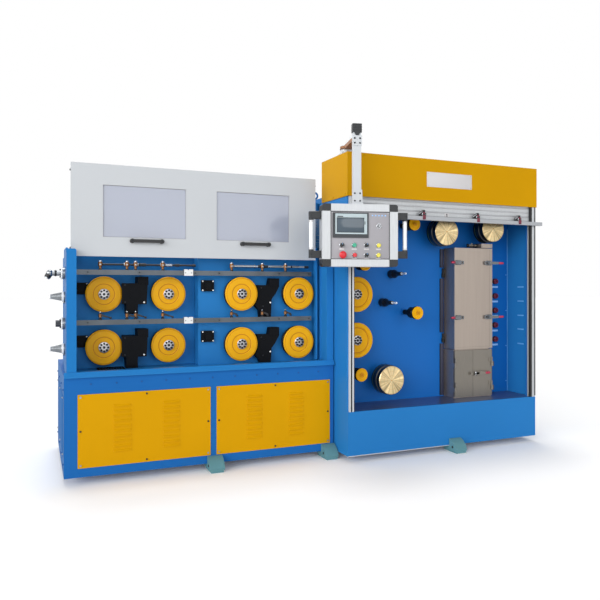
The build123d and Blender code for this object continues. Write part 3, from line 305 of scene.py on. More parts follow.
def plain_finishes(colours):
    """The finishes that cover whole pieces, by their plain names."""
    along_x = (0.03, 1, 1)
    upright = (1, 1, 0.05)
    even = (1, 1, 1)
    return {
        # Sprayed enamel: smooth, with soft wide highlights.
        "blue enamel": enamel("Blue_machine_enamel", colours.blue, 0.42, 0.1),
        # Painted shade: the left end faces get a darker, duller blue than the front.
        "shaded end enamel": enamel("Left_end_painted_shade", END_SHADE_BLUE, 0.6, 0.02),
        "deep blue": enamel("Blue_enamel_in_the_cabinet", colours.deep_blue, 0.42, 0.18),
        "yellow enamel": enamel("Yellow_machine_enamel", colours.yellow, 0.42, 0.06),
        "hood yellow": enamel("Ochre_yellow_enamel", colours.hood_yellow, 0.45, 0.06),
        # Painted shade: a darker yellow, drawn as lines where the wheel faces step; the guide pulleys'
        # centres take it too.
        "groove shade": enamel("Shaded_groove_enamel", "b8760a", 0.4, 0.2),
        "black casting": enamel("Black_cast_housing", "0c0e12", 0.55, 0.08),
        "teal enamel": enamel("Grey_teal_enamel", "5d8a92", 0.5, 0.1),
        # Powder coat: matt and even, with a close grain.
        "white coat": powder_coat("White_powder_coat", "bdc1c5"),
        "bare plate": powder_coat("Silvered_plate", "c6c4c5"),
        "panel grey": powder_coat("Grey_panel_sheet", "9b999e"),
        # Sheets that light passes into: pale windows, and a dark display with a sharp shine.
        "window": clear_sheet("Polycarbonate_window", "a5abbb"),
        "screen": display_glass("Display_glass", "44525d"),
        # Brushed and ground steel: long streaks that draw the highlights out.
        # A darker, duller copy of the stainless, used on the lower left leaf, the lid's fold lines and the
        # pipe fitting.
        "dull stainless": bare_metal("Dull_stainless_sheet", "837e76", 0.42, upright, 3, 0.01, 0.8),
        "shaded stainless": bare_metal("Shaded_stainless_flange", "3e4258", 0.5, upright, 3, 0.01, 0.4),
        # The tray's blue tint is a painted reflection of the blue machine round it.
        "stainless with painted reflection": bare_metal("Stainless_tray_painted_blue_reflection", "727ea0", 0.34, (0.1, 1, 1), 8, 0.02, 0.8),
        "bright steel": bare_metal("Ground_steel", "b5aca4", 0.25, along_x, 5, 0.01),
        "aluminium": bare_metal("Anodised_aluminium", "bdc0c3", 0.45, upright, 4, 0.005, 0.3),
        # Plated and turned small parts: bright, with small sharp highlights.
        "zinc": bare_metal("Bright_zinc_plate", "a9a9ac", 0.3),
        "chrome": bare_metal("Chromed_steel", "b9bcc0", 0.14, even, 12, 0.005),
        "nickel": bare_metal("Nickel_plated_fitting", "9a9ea3", 0.2, even, 10, 0.01),
        "brass": bare_metal("Turned_brass", "c98b3d", 0.3),
        "copper": bare_metal("Copper_alloy_fitting", "7f5a3c", 0.4),
        "dark steel": bare_metal("Blackened_steel_screw", "24262b", 0.45, metallic=0.6),
        # Moulded plastic and rubber: even colour with a soft sheen.
        "black plastic": moulded("Black_moulded_plastic", "0f1114", 0.42),
        "dark grey plastic": moulded("Dark_grey_moulded_plastic", "303438", 0.5),
        "white plastic": moulded("White_moulded_plastic", "f0f0ee", 0.35),
        "red plastic": moulded("Red_moulded_plastic", "c8202a", 0.3),
        "pink grip": moulded("Red_dipped_grip", "b02c4a", 0.4),
        "dark red plastic": moulded("Dark_red_knob", "66142c", 0.38),
        "green plastic": moulded("Green_push_button", "2f9c7c", 0.3),
        "yellow plastic": moulded("Yellow_lens", "d4c94c", 0.25),
        "blue plate": moulded("Pale_blue_plate", "8fbdf0", 0.4),
        # Pale blue for the side labels, and for a painted highlight in the cabinet's inner corner.
        "pale blue plate and highlight": moulded("Mid_blue_plate_and_painted_highlight", "5fa4e0", 0.4),
        "bezel": moulded("Pale_screen_bezel", "a9b8bd", 0.35),
        "rubber": moulded("Black_rubber", "0d0e10", 0.7),
        # Painted shade: blue bolt heads darkened for the shade under the sill and on the left end.
        "shaded blue bolt": moulded("Blue_bolt_painted_shade", "174f8f", 0.8),
    }


def wheel_finishes():
    """Yellow faces with black drums behind them, and brass faces with black bands."""
    made = {}
    wheels = [(f"capstan_{n}", f"Capstan_enamel_{n}", 15) for n in range(1, 9)]
    wheels += [(f"haul_wheel_{n}", f"Haul_wheel_enamel_{n}", 11) for n in (1, 2)]
    wheels += [(f"guide_pulley_{n}", f"Guide_pulley_enamel_{n}", 8) for n in (1, 2, 3, 4)]
    for node, name, face_depth in wheels:
        drum = zone(y0=box_mm(node)[2] + face_depth)
        made[node] = zoned(name, 0.34, "e0a406", [(drum, "0c0d10", 0.0)], gloss=0.15)
    for n in (1, 2, 3):
        x, front, z = centre_mm(f"contact_pulley_{n}")
        made[f"contact_pulley_{n}"] = turned_brass(f"Contact_pulley_{n}_brass", x, z, front)
    return made


def section_finishes():
    """Nodes of the drawing section whose one solid has several finishes."""
    made = {}
    for node, name, blue, gloss in (("base_frame", "Base_enamel", "2165ac", 0.02),
                                    ("gear_housing", "Gear_housing_enamel", "2475b8", 0.03),
                                    ("chamber_left_wall", "Left_wall_enamel", "2475b8", 0.03)):
        # Their left end faces take the darker end blue as painted shade.
        made[node] = zoned(name, 0.45, blue, [(left_end(node), END_SHADE_BLUE, 0.0)], gloss=gloss, patch_mm=420)
    joint_blocks = zone(727, 785)
    made["spray_rails"] = zoned("Oiled_steel_rail_with_white_joints", 0.34, "5d6369", [
        (joint_blocks, "dfe1e1", 0.0)], metallic=0.8, patch_mm=90, drift=0.45, grain=(1, 1, 0.2))
    upper_right_run = zone(x0=1040, z0=1296)
    made["spray_pipes"] = zoned("Black_pipe_with_silver_run", 0.3, "1c1d21", [
        (upper_right_run, "b4b7bb", 0.9)], metallic=0.2, patch_mm=40, drift=0.6)
    lower_stub = zone(x1=-11, z0=900, z1=990)
    made["wire_inlets"] = zoned("Nickel_fittings_with_dark_stub", 0.24, "9fa4a9", [
        (lower_stub, "3a3d42", 0.6)], metallic=1.0, patch_mm=40, drift=0.5)
    return made


def cabinet_finishes():
    """Nodes of the cabinet and the pendant whose one solid has several finishes."""
    made = {}
    right_edge = zone(3270, 3289)
    right_edge_front = zone(3270, 3289, y1=POST_Y + 17)
    made["guide_posts"] = zoned("Anodised_posts_with_black_seal", 0.45, "c2c5c8", [
        (right_edge, "1b62ab", 0.0), (right_edge_front, "13171d", 0.0)],
        metallic=0.3, patch_mm=60, drift=0.95)
    ceramic_tips = zone(y1=-58)
    made["guide_pins"] = zoned("Black_pin_with_ceramic_tip", 0.4, "131417", [(ceramic_tips, "dfe6ee", 0.2)])
    latch_seats = zone(y1=POST_Y, z0=1656.4)
    made["shutter_bar"] = zoned("Anodised_bar_with_black_latches", 0.42, "a4a7ab", [
        (latch_seats, "1a1b1e", 0.0)], metallic=0.5)
    hinges = zone(x1=2721.4, z0=740)
    leaf_seats = zone(y1=LID_Y - 0.5, z0=330, z1=700)
    right_seats = zone(x0=3069.6, z0=330, z1=700)
    for node, steel in (("annealer_lid", "ab9f95"), ("annealer_column", "aa9e94")):
        made[node] = zoned("Brushed_stainless_with_black_hinges_" + node[9:], 0.36, steel, [
            (hinges, "0d0e10", 0.0), (leaf_seats, "837e76", 0.8), (right_seats, "4a4744", 0.5)],
            metallic=0.85, patch_mm=25, drift=0.85, grain=(1, 1, 0.03))
    right_knuckles = zone(x0=3066)
    made["annealer_leaf_right"] = zoned("Dull_stainless_leaf", 0.42, "837e76", [
        (right_knuckles, "4a4744", 0.5)], metallic=0.8, patch_mm=40, grain=(1, 1, 0.05))
    # Painted shade: the left grips are a darker red than the right ones.
    shaded_left_grips = zone(x1=2712)
    right_grips = zone(x0=3112)
    made["annealer_clamps"] = zoned("Chromed_clamps_with_red_grips", 0.25, "85898e", [
        (shaded_left_grips, "7a2a3c", 0.0), (right_grips, "8f2f49", 0.0)], metallic=1.0, patch_mm=20, drift=0.5)
    tubes = zone(z0=1396.2, z1=1596.8)
    made["pendant_handles"] = zoned("Grip_blocks_and_white_tubes", 0.45, "1d2023", [(tubes, "e8ebec", 0.2)])
    # Painted shade: below this height the arm is brown, for its shade and the hood's orange reflection.
    painted_shade_foot = zone(z1=2127)
    made["pendant_arm"] = zoned("White_coat_with_painted_shade_below", 0.5, "d6d9db",
                                [(painted_shade_foot, "8a5a34", 0.0)])
    return made


# The finishes that pieces are given by name, filled by the first operator.
FINISHES = {}

NODES_BY_FINISH = {
    "blue enamel": ("chamber_floor", "chamber_right_wall", "chamber_back_wall", "cover_guides",
                    "cabinet_plinth", "cabinet_side_walls", "cabinet_housing", "cabinet_roof",
                    "lifting_eyes"),
    "deep blue": ("cabinet_back_wall",),
    "yellow enamel": ("base_panels",),
    "hood yellow": ("shutter_hood",),
    "teal enamel": ("levelling_feet",),
    "black casting": ("drain_grille", "die_holders", "sensor_boxes"),
    "white coat": ("cover_panel", "arm_mount", "pendant_post"),
    "window": ("cover_windows",),
    "black plastic": ("cover_handles",),
    "dark grey plastic": ("pendant_controls",),
    "dark red plastic": ("red_knobs",),
    "bright steel": ("cover_slides",),
    "stainless with painted reflection": ("drip_tray",),
    "dull stainless": ("annealer_leaf_left",),
    "aluminium": ("roller_shutter", "pendant_box"),
}


# Meshes

# Edges that turn more than this many degrees look sharp.
SHARP_FROM_DEG = 35


class Shape:
    """A mesh that is built in millimetres, from the base corner or in a placed frame of its own."""

    def __init__(self, place=Matrix.Identity(4)):
        self.bm = bmesh.new()
        self.place = place

    def block(self, x0, x1, y0, y1, z0, z1, edge=0.0):
        """A box with its edges rounded off by edge."""
        made = bmesh.ops.create_cube(self.bm, size=1)["verts"]
        size = Matrix.Diagonal((x1 - x0, y1 - y0, z1 - z0, 1))
        middle = Matrix.Translation(((x0 + x1) / 2, (y0 + y1) / 2, (z0 + z1) / 2))
        bmesh.ops.transform(self.bm, matrix=middle @ size, verts=made)
        if edge:
            edges = list({e for v in made for e in v.link_edges})
            bmesh.ops.bevel(self.bm, geom=edges, offset=edge, segments=2, affect="EDGES", profile=0.5)
        return self

    def turned(self, points, start, axis=FRONT, steps=32, ring=False):
        """A turned piece of points (radius, distance along the axis); a ring has an open middle."""
        turn = Vector((0, 0, 1)).rotation_difference(Vector(axis).normalized()).to_matrix().to_4x4()
        matrix = Matrix.Translation(Vector(start)) @ turn
        circles = []
        for radius, along in points:
            count = steps if radius > 0 else 1
            circle = []
            for n in range(count):
                angle = 2 * math.pi * n / steps
                point = Vector((radius * math.cos(angle), radius * math.sin(angle), along))
                circle.append(self.bm.verts.new(matrix @ point))
            circles.append(circle)
        pairs = list(zip(circles, circles[1:]))
        if ring:
            pairs.append((circles[-1], circles[0]))
        for first, second in pairs:
            for n in range(steps):
                m = (n + 1) % steps
                corners = [first[n % len(first)], first[m % len(first)], second[m % len(second)],
                           second[n % len(second)]]
                unique = list(dict.fromkeys(corners))
                if len(unique) > 2:
                    self.bm.faces.new(unique)
        if not ring:
            for circle in (circles[0], circles[-1]):
                if len(circle) > 1:
                    self.bm.faces.new(circle)
        return self

    def band(self, inner, outer, height, start, steps=32):
        """A flat ring with a square section, from a face towards the front."""
        points = [(inner, 0), (inner, height), (outer, height), (outer, 0)]
        return self.turned(points, start, FRONT, steps, ring=True)

    def rod(self, start, end, radius, steps=16):
        """A round bar between two points, with its ends eased."""
        start = Vector(start)
        end = Vector(end)
        length = (end - start).length
        ease = min(radius * 0.25, length * 0.2)
        points = [(radius - ease, 0), (radius, ease), (radius, length - ease), (radius - ease, length)]
        return self.turned(points, start, end - start, steps)

    def prism(self, outline, offset):
        """A flat outline of points, drawn out by an offset vector."""
        first = [self.bm.verts.new(Vector(p)) for p in outline]
        second = [self.bm.verts.new(Vector(p) + Vector(offset)) for p in outline]
        self.bm.faces.new(first)
        self.bm.faces.new(list(reversed(second)))
        count = len(first)
        for n in range(count):
            m = (n + 1) % count
            self.bm.faces.new([first[m], first[n], second[n], second[m]])
        return self

    def frame(self, x0, x1, z0, z1, y0, y1, width):
        """A flat rectangular frame that faces the front, of four bars."""
        self.block(x0, x1, y0, y1, z1 - width, z1)
        self.block(x0, x1, y0, y1, z0, z0 + width)
        self.block(x0, x0 + width, y0, y1, z0 + width, z1 - width)
        return self.block(x1 - width, x1, y0, y1, z0 + width, z1 - width)

    def piece(self, name, finish, body="machine", slot="blue_paint"):
        """The finished object, on a body; the slot argument is not used."""
        bmesh.ops.recalc_face_normals(self.bm, faces=self.bm.faces)
        self.bm.transform(TO_ROW @ self.place)
        mesh = bpy.data.meshes.new(name)
        self.bm.to_mesh(mesh)
        self.bm.free()
        return settle(name, mesh, finish, body)


def settle(name, mesh, finish, body):
    """Puts a mesh in the scene with its material and body."""
    mesh.materials.clear()
    mesh.materials.append(FINISHES[finish])
    for face in mesh.polygons:
        face.use_smooth = True
        face.material_index = 0
    mesh.set_sharp_from_angle(angle=math.radians(SHARP_FROM_DEG))
    piece = bpy.data.objects.new(name, mesh)
    bpy.context.scene.collection.objects.link(piece)
    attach(piece, body)
    return piece


# Geometry Nodes

TREES = {}


def node_group(name, sockets):
    """A Geometry Nodes tree with named inputs, and its group input node."""
    tree = bpy.data.node_groups.new(name, "GeometryNodeTree")
    tree.interface.new_socket("Geometry", in_out="OUTPUT", socket_type="NodeSocketGeometry")
    tree.interface.new_socket("Geometry", in_out="INPUT", socket_type="NodeSocketGeometry")
    for label, kind in sockets.items():
        tree.interface.new_socket(label, in_out="INPUT", socket_type="NodeSocket" + kind)
    return tree, add_node(tree, "NodeGroupInput")


def close_tree(tree, instances, given):
    """Ends a tree in Realize Instances and Set Material."""
    real = add_node(tree, "GeometryNodeRealizeInstances", {"Geometry": instances})
    finished = add_node(tree, "GeometryNodeSetMaterial", {
        "Geometry": real.outputs["Geometry"], "Material": given.outputs["Finish"]})
    add_node(tree, "NodeGroupOutput", {"Geometry": finished.outputs["Geometry"]})
    return tree


def screw_tree():
    """Screw heads on every point of a mesh, all facing one way: a flange ring and a raised head."""
    tree, given = node_group("Screw_heads", {
        "Head radius": "Float", "Head height": "Float", "Sides": "Int", "Direction": "Vector",
        "Finish": "Material"})
    radius = given.outputs["Head radius"]
    height = given.outputs["Head height"]
    top = add_node(tree, "ShaderNodeMath", {0: radius, 1: 0.72}, operation="MULTIPLY")
    neck = add_node(tree, "ShaderNodeMath", {0: radius, 1: 0.86}, operation="MULTIPLY")
    collar = add_node(tree, "ShaderNodeMath", {0: height, 1: 0.35}, operation="MULTIPLY")
    flange = add_node(tree, "GeometryNodeMeshCone", {
        "Vertices": 16, "Radius Top": radius, "Radius Bottom": radius, "Depth": collar.outputs[0]})
    head = add_node(tree, "GeometryNodeMeshCone", {
        "Vertices": given.outputs["Sides"], "Radius Top": top.outputs[0], "Radius Bottom": neck.outputs[0],
        "Depth": height})
    both = add_node(tree, "GeometryNodeJoinGeometry", {"Geometry": flange.outputs["Mesh"]})
    tree.links.new(head.outputs["Mesh"], both.inputs["Geometry"])
    facing = add_node(tree, "FunctionNodeAlignRotationToVector", {
        "Vector": given.outputs["Direction"]}, axis="Z")
    placed = add_node(tree, "GeometryNodeInstanceOnPoints", {
        "Points": given.outputs["Geometry"], "Instance": both.outputs["Geometry"],
        "Rotation": facing.outputs["Rotation"]})
    return close_tree(tree, placed.outputs["Instances"], given)


def bolt_ring_tree():
    """Bolt heads at even steps round a circle that faces along Y."""
    tree, given = node_group("Bolt_ring", {
        "Centre": "Vector", "Ring radius": "Float", "Bolts": "Int", "Head radius": "Float",
        "Head height": "Float", "Finish": "Material"})
    circle = add_node(tree, "GeometryNodeMeshCircle", {
        "Vertices": given.outputs["Bolts"], "Radius": given.outputs["Ring radius"]})
    upright = add_node(tree, "GeometryNodeTransform", {
        "Geometry": circle.outputs["Mesh"], "Translation": given.outputs["Centre"],
        "Rotation": (math.radians(90), 0, 0)})
    head = add_node(tree, "GeometryNodeMeshCone", {
        "Vertices": 12, "Radius Top": given.outputs["Head radius"],
        "Radius Bottom": given.outputs["Head radius"], "Depth": given.outputs["Head height"]})
    facing = add_node(tree, "FunctionNodeAlignRotationToVector", {"Vector": FRONT}, axis="Z")
    placed = add_node(tree, "GeometryNodeInstanceOnPoints", {
        "Points": upright.outputs["Geometry"], "Instance": head.outputs["Mesh"],
        "Rotation": facing.outputs["Rotation"]})
    return close_tree(tree, placed.outputs["Instances"], given)


def louvre_tree():
    """Slanted louvre blades one above the other, from the middle of the lowest."""
    tree, given = node_group("Louvre_blades", {
        "Start": "Vector", "Blade size": "Vector", "Slant": "Float", "Blades": "Int", "Pitch": "Vector",
        "Finish": "Material"})
    line = add_node(tree, "GeometryNodeMeshLine", {
        "Count": given.outputs["Blades"], "Start Location": given.outputs["Start"],
        "Offset": given.outputs["Pitch"]})
    blade = add_node(tree, "GeometryNodeMeshCube", {"Size": given.outputs["Blade size"]})
    turn = add_node(tree, "ShaderNodeCombineXYZ", {"X": given.outputs["Slant"]})
    slanted = add_node(tree, "GeometryNodeTransform", {
        "Geometry": blade.outputs["Mesh"], "Rotation": turn.outputs["Vector"]})
    placed = add_node(tree, "GeometryNodeInstanceOnPoints", {
        "Points": line.outputs["Mesh"], "Instance": slanted.outputs["Geometry"]})
    return close_tree(tree, placed.outputs["Instances"], given)


def knurl_tree():
    """Small upright ridges at even steps round an axis, such as the knurl of a cap."""
    tree, given = node_group("Knurl_ridges", {
        "Centre": "Vector", "Turn": "Rotation", "Radius": "Float", "Ridges": "Int", "Ridge size": "Vector",
        "Finish": "Material"})
    circle = add_node(tree, "GeometryNodeMeshCircle", {
        "Vertices": given.outputs["Ridges"], "Radius": given.outputs["Radius"]})
    ridge = add_node(tree, "GeometryNodeMeshCube", {"Size": given.outputs["Ridge size"]})
    place = add_node(tree, "GeometryNodeInputPosition")
    facing = add_node(tree, "FunctionNodeAlignRotationToVector", {
        "Vector": place.outputs["Position"]}, axis="X")
    ridges = add_node(tree, "GeometryNodeInstanceOnPoints", {
        "Points": circle.outputs["Mesh"], "Instance": ridge.outputs["Mesh"],
        "Rotation": facing.outputs["Rotation"]})
    moved = add_node(tree, "GeometryNodeTransform", {
        "Geometry": ridges.outputs["Instances"], "Translation": given.outputs["Centre"],
        "Rotation": given.outputs["Turn"]})
    return close_tree(tree, moved.outputs["Geometry"], given)


def grown(name, tree_name, mesh, values, finish, body):
    """A plain mesh piece from a Geometry Nodes tree, with its inputs set by their labels."""
    tree = TREES[tree_name]
    seed = bpy.data.objects.new(name + "_seed", mesh)
    bpy.context.scene.collection.objects.link(seed)
    modifier = seed.modifiers.new("Make", "NODES")
    modifier.node_group = tree
    values = dict(values, Finish=FINISHES[finish])
    for item in tree.interface.items_tree:
        if item.in_out == "INPUT" and item.name in values:
            modifier[item.identifier] = values[item.name]
    ready = seed.evaluated_get(bpy.context.evaluated_depsgraph_get())
    result = bpy.data.meshes.new_from_object(ready)
    seed.modifiers.clear()
    bpy.data.objects.remove(seed)
    result.name = name
    return settle(name, result, finish, body)


def screws(name, places, radius_mm, finish, body="machine", direction=FRONT,
           height_mm=3.0, sides=8, place=Matrix.Identity(4)):
    """Screw heads at places in millimetres from the base corner, or in a placed frame."""
    mesh = bpy.data.meshes.new(name + "_places")
    mesh.from_pydata([TO_ROW @ place @ Vector(p) for p in places], [], [])
    return grown(name, "screws", mesh, {
        "Head radius": radius_mm / 1000, "Head height": 2 * height_mm / 1000, "Sides": sides,
        "Direction": place.to_3x3() @ Vector(direction)}, finish, body)


def bolt_ring(name, x, y, z, ring_mm, bolts, radius_mm, finish, body="machine", height_mm=6):
    """A ring of bolt heads along Y; half of each head stands before its seat."""
    mesh = bpy.data.meshes.new(name + "_empty")
    return grown(name, "bolt_ring", mesh, {
        "Centre": TO_ROW @ Vector((x, y, z)), "Ring radius": ring_mm / 1000, "Bolts": bolts,
        "Head radius": radius_mm / 1000, "Head height": height_mm / 1000}, finish, body)


def louvres(name, x, y, z, length, pitch, count, finish):
    """A column of slanted blades on a rear face."""
    mesh = bpy.data.meshes.new(name + "_empty")
    return grown(name, "louvres", mesh, {
        "Start": TO_ROW @ Vector((x, y, z)), "Blade size": (length / 1000, 0.014, 0.0025),
        "Slant": math.radians(-32), "Blades": count, "Pitch": (0, 0, pitch / 1000)},
        finish, "machine")


def knurl(name, centre, turn_deg, radius, ridges, size, finish, body, place=Matrix.Identity(4)):
    """Ridges round an axis that is Z turned about X by turn_deg."""
    mesh = bpy.data.meshes.new(name + "_empty")
    turn = (place.to_3x3() @ Matrix.Rotation(math.radians(turn_deg), 3, "X")).to_euler()
    return grown(name, "knurl", mesh, {
        "Centre": TO_ROW @ place @ Vector(centre), "Turn": turn, "Radius": radius / 1000, "Ridges": ridges,
        "Ridge size": [s / 1000 for s in size]}, finish, body)


# Settings

class WDM_sizes(bpy.types.PropertyGroup):
    """Sizes and light levels that a user may change."""
    hub_radius: FloatProperty(name="Hub radius", description="Radius of the bare hub disc on a capstan",
                              default=0.034, min=0.01, max=0.06, unit="LENGTH")
    hub_bolts: IntProperty(name="Hub bolts", description="Bolts round a hub", default=8, min=4, max=12)
    panel_screw: FloatProperty(name="Panel screw", description="Head radius of the sheet screws",
                               default=0.006, min=0.002, max=0.01, unit="LENGTH")
    light: FloatProperty(name="World light", description="Strength of the soft light from all round",
                         default=0.38, min=0.1, max=2)
    key: FloatProperty(name="Key light", description="Strength of the lamp at the front left", default=1.75,
                       min=0, max=5)


def hex_choice(name, description, default):
    """An enamel's colour as an sRGB hex value."""
    return StringProperty(name=name, description=description, default=default)


class WDM_colours(bpy.types.PropertyGroup):
    """Colours of the main enamels, and the stage's floor."""
    blue: hex_choice("Blue", "Machine blue as an sRGB hex value", "2475b8")
    deep_blue: hex_choice("Deep blue", "Blue inside the cabinet, as hex", "1164b4")
    yellow: hex_choice("Yellow", "Yellow of the base's sheets, as hex", "ce9700")
    hood_yellow: hex_choice("Hood yellow", "Yellow of the hood, as hex", "bf8c00")
    floor: FloatVectorProperty(name="Floor", description="Colour of the floor as the object sees it",
                               subtype="COLOR", size=4, default=linear("f0f0f0"), min=0, max=1)


# Operators

class WDM_OT_finishes(bpy.types.Operator):
    """Give every CAD node its finish"""
    bl_idname = "wdm.finishes"
    bl_label = "Finishes"

    def execute(self, context):
        FINISHES.update(plain_finishes(context.scene.wdm_colours))
        given = {**wheel_finishes(), **section_finishes(), **cabinet_finishes()}
        for finish, nodes in NODES_BY_FINISH.items():
            given.update((node, FINISHES[finish]) for node in nodes)
        for name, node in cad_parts.items():
            node.data.materials.clear()
            node.data.materials.append(given[name])
        return {"FINISHED"}


class WDM_OT_hubs(bpy.types.Operator):
    """Bare hubs with a ring of bolts on the capstans and haul wheels"""
    bl_idname = "wdm.hubs"
    bl_label = "Wheel hubs"

    # A painted shade line at the foot of a wheel's cone and a finer one at its rim, as (radius, depth,
    # width).
    CAPSTAN_SHADE_LINES = ((62, 8, 5), (102, 6.5, 2.5))
    HAUL_SHADE_LINES = ((84, 8, 5), (112, 6, 2.5))
    CENTRE_BOLT = ((9, 1), (9, 3.5), (7, 5), (3, 5), (3, 3), (0, 3))

    def execute(self, context):
        wheels = [(f"capstan_{n}", self.CAPSTAN_SHADE_LINES) for n in range(1, 9)]
        wheels += [(f"haul_wheel_{n}", self.HAUL_SHADE_LINES) for n in (1, 2)]
        for name, lines in wheels:
            self.dress(name, lines, context.scene.wdm_sizes)
        return {"FINISHED"}

    def dress(self, name, lines, sizes):
        """The hub disc, its bolts, the centre bolt and the painted shade lines on the face of one wheel."""
        radius = sizes.hub_radius * 1000
        recess = radius * 0.45
        x, y, z = centre_mm(name)
        body = name + "_body"
        hub = Shape()
        hub.turned([(radius, -2), (radius, 1.5), (radius - 1.5, 2.5), (recess, 2.5), (recess, 1), (0, 1)],
                   (x, y, z))
        hub.piece(name + "_hub", "zinc", body, "bright_steel")
        bolt_ring(name + "_hub_bolts", x, y - 2.5, z, radius * 0.7, sizes.hub_bolts, radius * 0.2, "rubber",
                  body, height_mm=9)
        bolt = Shape().turned(self.CENTRE_BOLT, (x, y, z), steps=6)
        bolt.piece(name + "_centre_bolt", "dark steel", body, "bright_steel")
        marks = Shape()
        for inner, deep, wide in lines:
            marks.band(inner, inner + wide, 1.2, (x, y + deep, z), steps=48)
        marks.piece(name + "_painted_shade_lines", "groove shade", body, "yellow_paint")


class WDM_OT_pulleys(bpy.types.Operator):
    """Centres and rings of the guide pulleys and the contact pulleys"""
    bl_idname = "wdm.pulleys"
    bl_label = "Pulley centres"

    GUIDE_CENTRE = ((8, -1), (8, 1.5), (6.5, 2.5), (2.5, 2.5), (2.5, 1), (0, 1))
    CONTACT_CENTRE = ((4, -1.5), (4, 1.2), (2.5, 2), (0, 1))
    TOOL_RING_RADII = (34, 62, 93)

    def execute(self, context):
        for n in (1, 2, 3, 4):
            name = f"guide_pulley_{n}"
            place = centre_mm(name)
            centre = Shape().turned(self.GUIDE_CENTRE, place, steps=20)
            centre.turned([(15, -1), (15, 0.8), (12, 0.8), (12, -1)], place, ring=True)
            centre.piece(name + "_centre", "groove shade", name + "_body", "yellow_paint")
        for n in (1, 2, 3):
            name = f"contact_pulley_{n}"
            place = centre_mm(name)
            centre = Shape().turned(self.CONTACT_CENTRE, place, steps=16)
            for radius in self.TOOL_RING_RADII:
                outer = radius + 0.8
                centre.turned([(radius, -0.5), (radius, 0.35), (outer, 0.35), (outer, -0.5)], place,
                              steps=64, ring=True)
            centre.piece(name + "_tool_rings", "brass", name + "_body", "brass")
        return {"FINISHED"}


class WDM_OT_base_fittings(bpy.types.Operator):
    """Screws of the louvred sheets, sill bolts and the cover plate on the base's left end"""
    bl_idname = "wdm.base_fittings"
    bl_label = "Base fittings"

    SHEET_GAP = 39
    SHEET_FACE_Y = -3
    INSET = 16
    SILL_BOLTS = [(150 + n * 148, 0, 590) for n in range(11)]
    END_COVER = (90, 910, 150, 520)
    # A pale strip of painted light runs along the plinth's lower edge, from its left end to here.
    LIGHT_EDGE_END_X = 2600

    def execute(self, context):
        radius = context.scene.wdm_sizes.panel_screw * 1000
        x0, x1, y0, y1, z0, z1 = box_mm("base_panels")
        width = (x1 - x0 - self.SHEET_GAP) / 2
        corner_places = []
        side_places = []
        y = self.SHEET_FACE_Y
        for left in (x0, x1 - width):
            right = left + width
            corner_places += corners(left, right, z0, z1, y, self.INSET)
            side_places += [((left + right) / 2, y, z) for z in (z0 + self.INSET, z1 - self.INSET)]
            side_places += [(x, y, (z0 + z1) / 2) for x in (left + self.INSET, right - self.INSET)]
        screws("panel_corner_screws", corner_places, radius, "zinc")
        screws("panel_side_screws", side_places, radius, "dark steel")
        screws("sill_bolts", self.SILL_BOLTS, 5.5, "shaded blue bolt", height_mm=2)
        places = [(0, y, z) for y in (40, 330, 640, 960) for z in (120, 560)]
        screws("base_end_screws", places, 6, "shaded blue bolt", direction=LEFT)
        y0, y1, z0, z1 = self.END_COVER
        Shape().block(-2, 0, y0, y1, z0, z1, 0.8).piece("base_end_cover", "shaded end enamel")
        places = [(-2, y, z) for y in (y0 + self.INSET, (y0 + y1) / 2, y1 - self.INSET)
                  for z in (z0 + self.INSET, z1 - self.INSET)]
        screws("base_end_cover_screws", places, radius, "zinc", direction=LEFT)
        left, right, front, back, low, high = box_mm("cabinet_plinth")
        edge = Shape()
        edge.block(left, self.LIGHT_EDGE_END_X, front - 1.5, front + 2, low - 2, low + 2.5, 0.6)
        edge.piece("plinth_lower_edge_painted_light", "bare plate", slot="white_paint")
        return {"FINISHED"}


